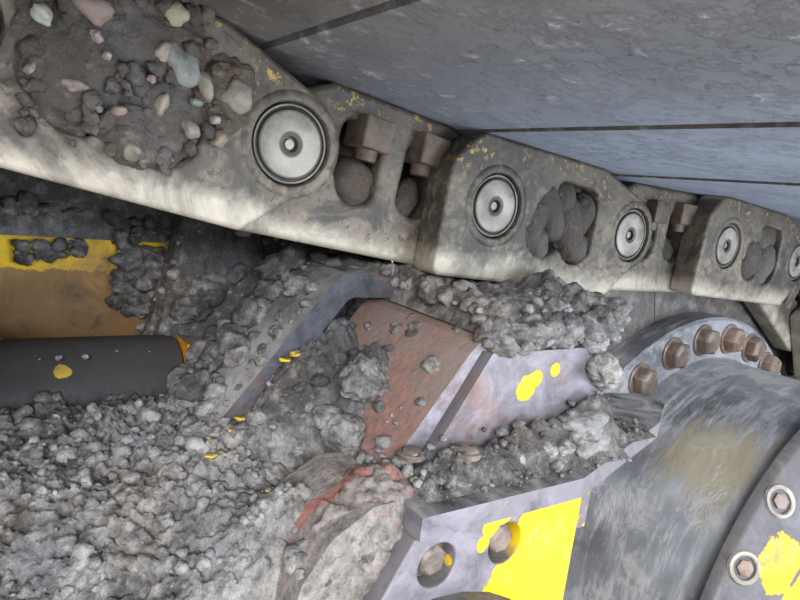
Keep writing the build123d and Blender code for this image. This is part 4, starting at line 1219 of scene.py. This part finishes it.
def build_drive():
    """Drum and ring turned finer than the part's own, the ring's bolts and the cover's pockets."""
    at = Matrix.Translation(SPROCKET)
    low, high = (corner / MM for corner in node_box("sprocket_hub"))
    ring_r = (high.x - low.x) / 2
    drum = lathe(mm([
        (0, low.y), (DRUM_R - 3, low.y), (DRUM_R, low.y + 3), (DRUM_R, RING_FACE_Y - 9),
        (DRUM_R + 2.6, RING_FACE_Y - 2.6), (DRUM_R + 9, RING_FACE_Y), (ring_r - 4, RING_FACE_Y),
        (ring_r, RING_FACE_Y + 4), (ring_r, -26.3), (274.7, -26.3), (274.7, high.y), (0, high.y),
    ]), 144)
    Gather().add(drum, at).make("drive_drum", mat_drive, "drive_paint", replaces=["sprocket_hub"])
    low, high = (corner / MM for corner in node_box("final_drive_cover"))
    cover = lathe(mm([
        (0, low.y), (150, low.y), (152, low.y + 2), (COVER_FACE_R - 4, low.y + 2), (COVER_FACE_R, low.y + 4),
        (COVER_R - 2, high.y - 13), (COVER_R, high.y - 10), (COVER_R, high.y), (0, high.y),
    ]), 144)
    cover = Gather().add(cover, at)
    cover.make("drive_cover", mat_drive_cover, "drive_paint", replaces=["final_drive_cover"])
    rng = random.Random(8)
    bolts, rims = Gather(), Gather()
    for k in range(RING_BOLTS):
        t = math.radians(RING_START - k * 360 / RING_BOLTS)
        spot = at @ offset(RING_BOLT_R * math.cos(t), RING_FACE_Y, RING_BOLT_R * math.sin(t))
        for shape in bolt_head(33, 19, 22.5):
            bolts.add(shape, spot @ Matrix.Rotation(rng.uniform(0, 1), 4, "Y"))
    rim = lathe(mm([(11.5, 1), (12, -1.2), (13.5, -2), (16, -1.6), (17.5, 1)]), 32)
    for k in range(COVER_POCKETS):
        t = math.radians(COVER_START + k * 360 / COVER_POCKETS)
        out = Vector((math.cos(t), 0, math.sin(t)))
        lean = Vector((0, 1, 0)).rotation_difference(Vector((0, 48, 0)) - out * 34).to_matrix().to_4x4()
        spot = at @ offset(POCKET_CIRCLE_R * out.x, POCKET_Y, POCKET_CIRCLE_R * out.z) @ lean
        rims.add(rim, spot)
        for shape in bolt_head(15, 3):
            bolts.add(shape, spot @ Matrix.Rotation(rng.uniform(0, 1), 4, "Y"))
    bolts.make("drive_bolts", mat_bolt, "worn_steel")
    rims.make("cover_rims", mat_pin, "drive_paint")


def build_recoil():
    """Recoil cylinder with a smooth barrel."""
    low, high = (corner / MM for corner in node_box("recoil_cylinder"))
    radius, length, middle = (high.y - low.y) / 2, high.x - low.x, (low + high) / 2
    barrel = [(0, 0), (radius - 2, 0), (radius, 2), (radius, length - 2), (radius - 2, length), (0, length)]
    turn = offset(high.x, middle.y, middle.z) @ Matrix.Rotation(math.pi / 2, 4, "Z")
    barrel = Gather().add(lathe(mm(barrel), 96), turn)
    barrel.make("recoil_barrel", mat_black, "black_paint", replaces=["recoil_cylinder"])


build_cheek()
build_drive()
build_recoil()
build_guard_soil()
build_crust()
build_flakes()
build_chain()
build_chain_mud()
build_bed()
build_clods()


# Camera, as fitted to the photograph

PHOTO_WIDTH = 800
FOCAL_PIXELS = 617.3
YAW, PITCH_ANGLE, ROLL = 0.6169, -0.1692, 0.1212
CAMERA_FROM_SPROCKET = Vector((-0.8678, -0.5083, 1.0295 - SPROCKET.z))


def add_camera():
    data = bpy.data.cameras.new("camera")
    data.sensor_width = 36
    data.lens = FOCAL_PIXELS * data.sensor_width / PHOTO_WIDTH
    data.clip_start = 0.01
    camera = bpy.data.objects.new("camera", data)
    bpy.context.scene.collection.objects.link(camera)
    reach = math.cos(PITCH_ANGLE)
    ahead = Vector((math.sin(YAW) * reach, math.cos(YAW) * reach, math.sin(PITCH_ANGLE)))
    level = Vector((math.cos(YAW), -math.sin(YAW), 0))
    above = level.cross(ahead)
    right = level * math.cos(ROLL) + above * math.sin(ROLL)
    up = above * math.cos(ROLL) - level * math.sin(ROLL)
    turn = Matrix((right, up, -ahead)).transposed()
    camera.matrix_world = Matrix.Translation(SPROCKET + CAMERA_FROM_SPROCKET) @ turn.to_4x4()
    bpy.context.scene.camera = camera


def area_light(name, place, aim, size, power, color=(1, 1, 1)):
    data = bpy.data.lights.new(name, "AREA")
    data.shape = "RECTANGLE"
    data.size, data.size_y = size
    data.energy = power
    data.color = color
    light = bpy.data.objects.new(name, data)
    light.location = place
    light.rotation_euler = (Vector(aim) - Vector(place)).to_track_quat("-Z", "Y").to_euler()
    bpy.context.scene.collection.objects.link(light)


def add_studio():
    bpy.ops.mesh.primitive_plane_add(size=60, location=(0, 0, 0))
    floor = bpy.context.object
    floor.name = "studio_floor"
    floor.data.materials.append(pale_floor())
    world = bpy.data.worlds.new("studio")
    bpy.context.scene.world = world
    world.use_nodes = True
    world.node_tree.nodes["Background"].inputs["Color"].default_value = (0.9, 0.93, 1.0, 1)
    world.node_tree.nodes["Background"].inputs["Strength"].default_value = 1.2
    area_light("side_light", (-0.6, -3.0, 2.2), (1.1, 0, 0.8), (2.0, 1.2), 260)
    area_light("rear_light", (2.0, -1.7, 0.95), (1.3, 0, 1.0), (0.9, 0.9), 40, (0.78, 0.89, 1.0))
    bpy.context.scene.view_settings.view_transform = "Standard"


add_camera()
add_studio()
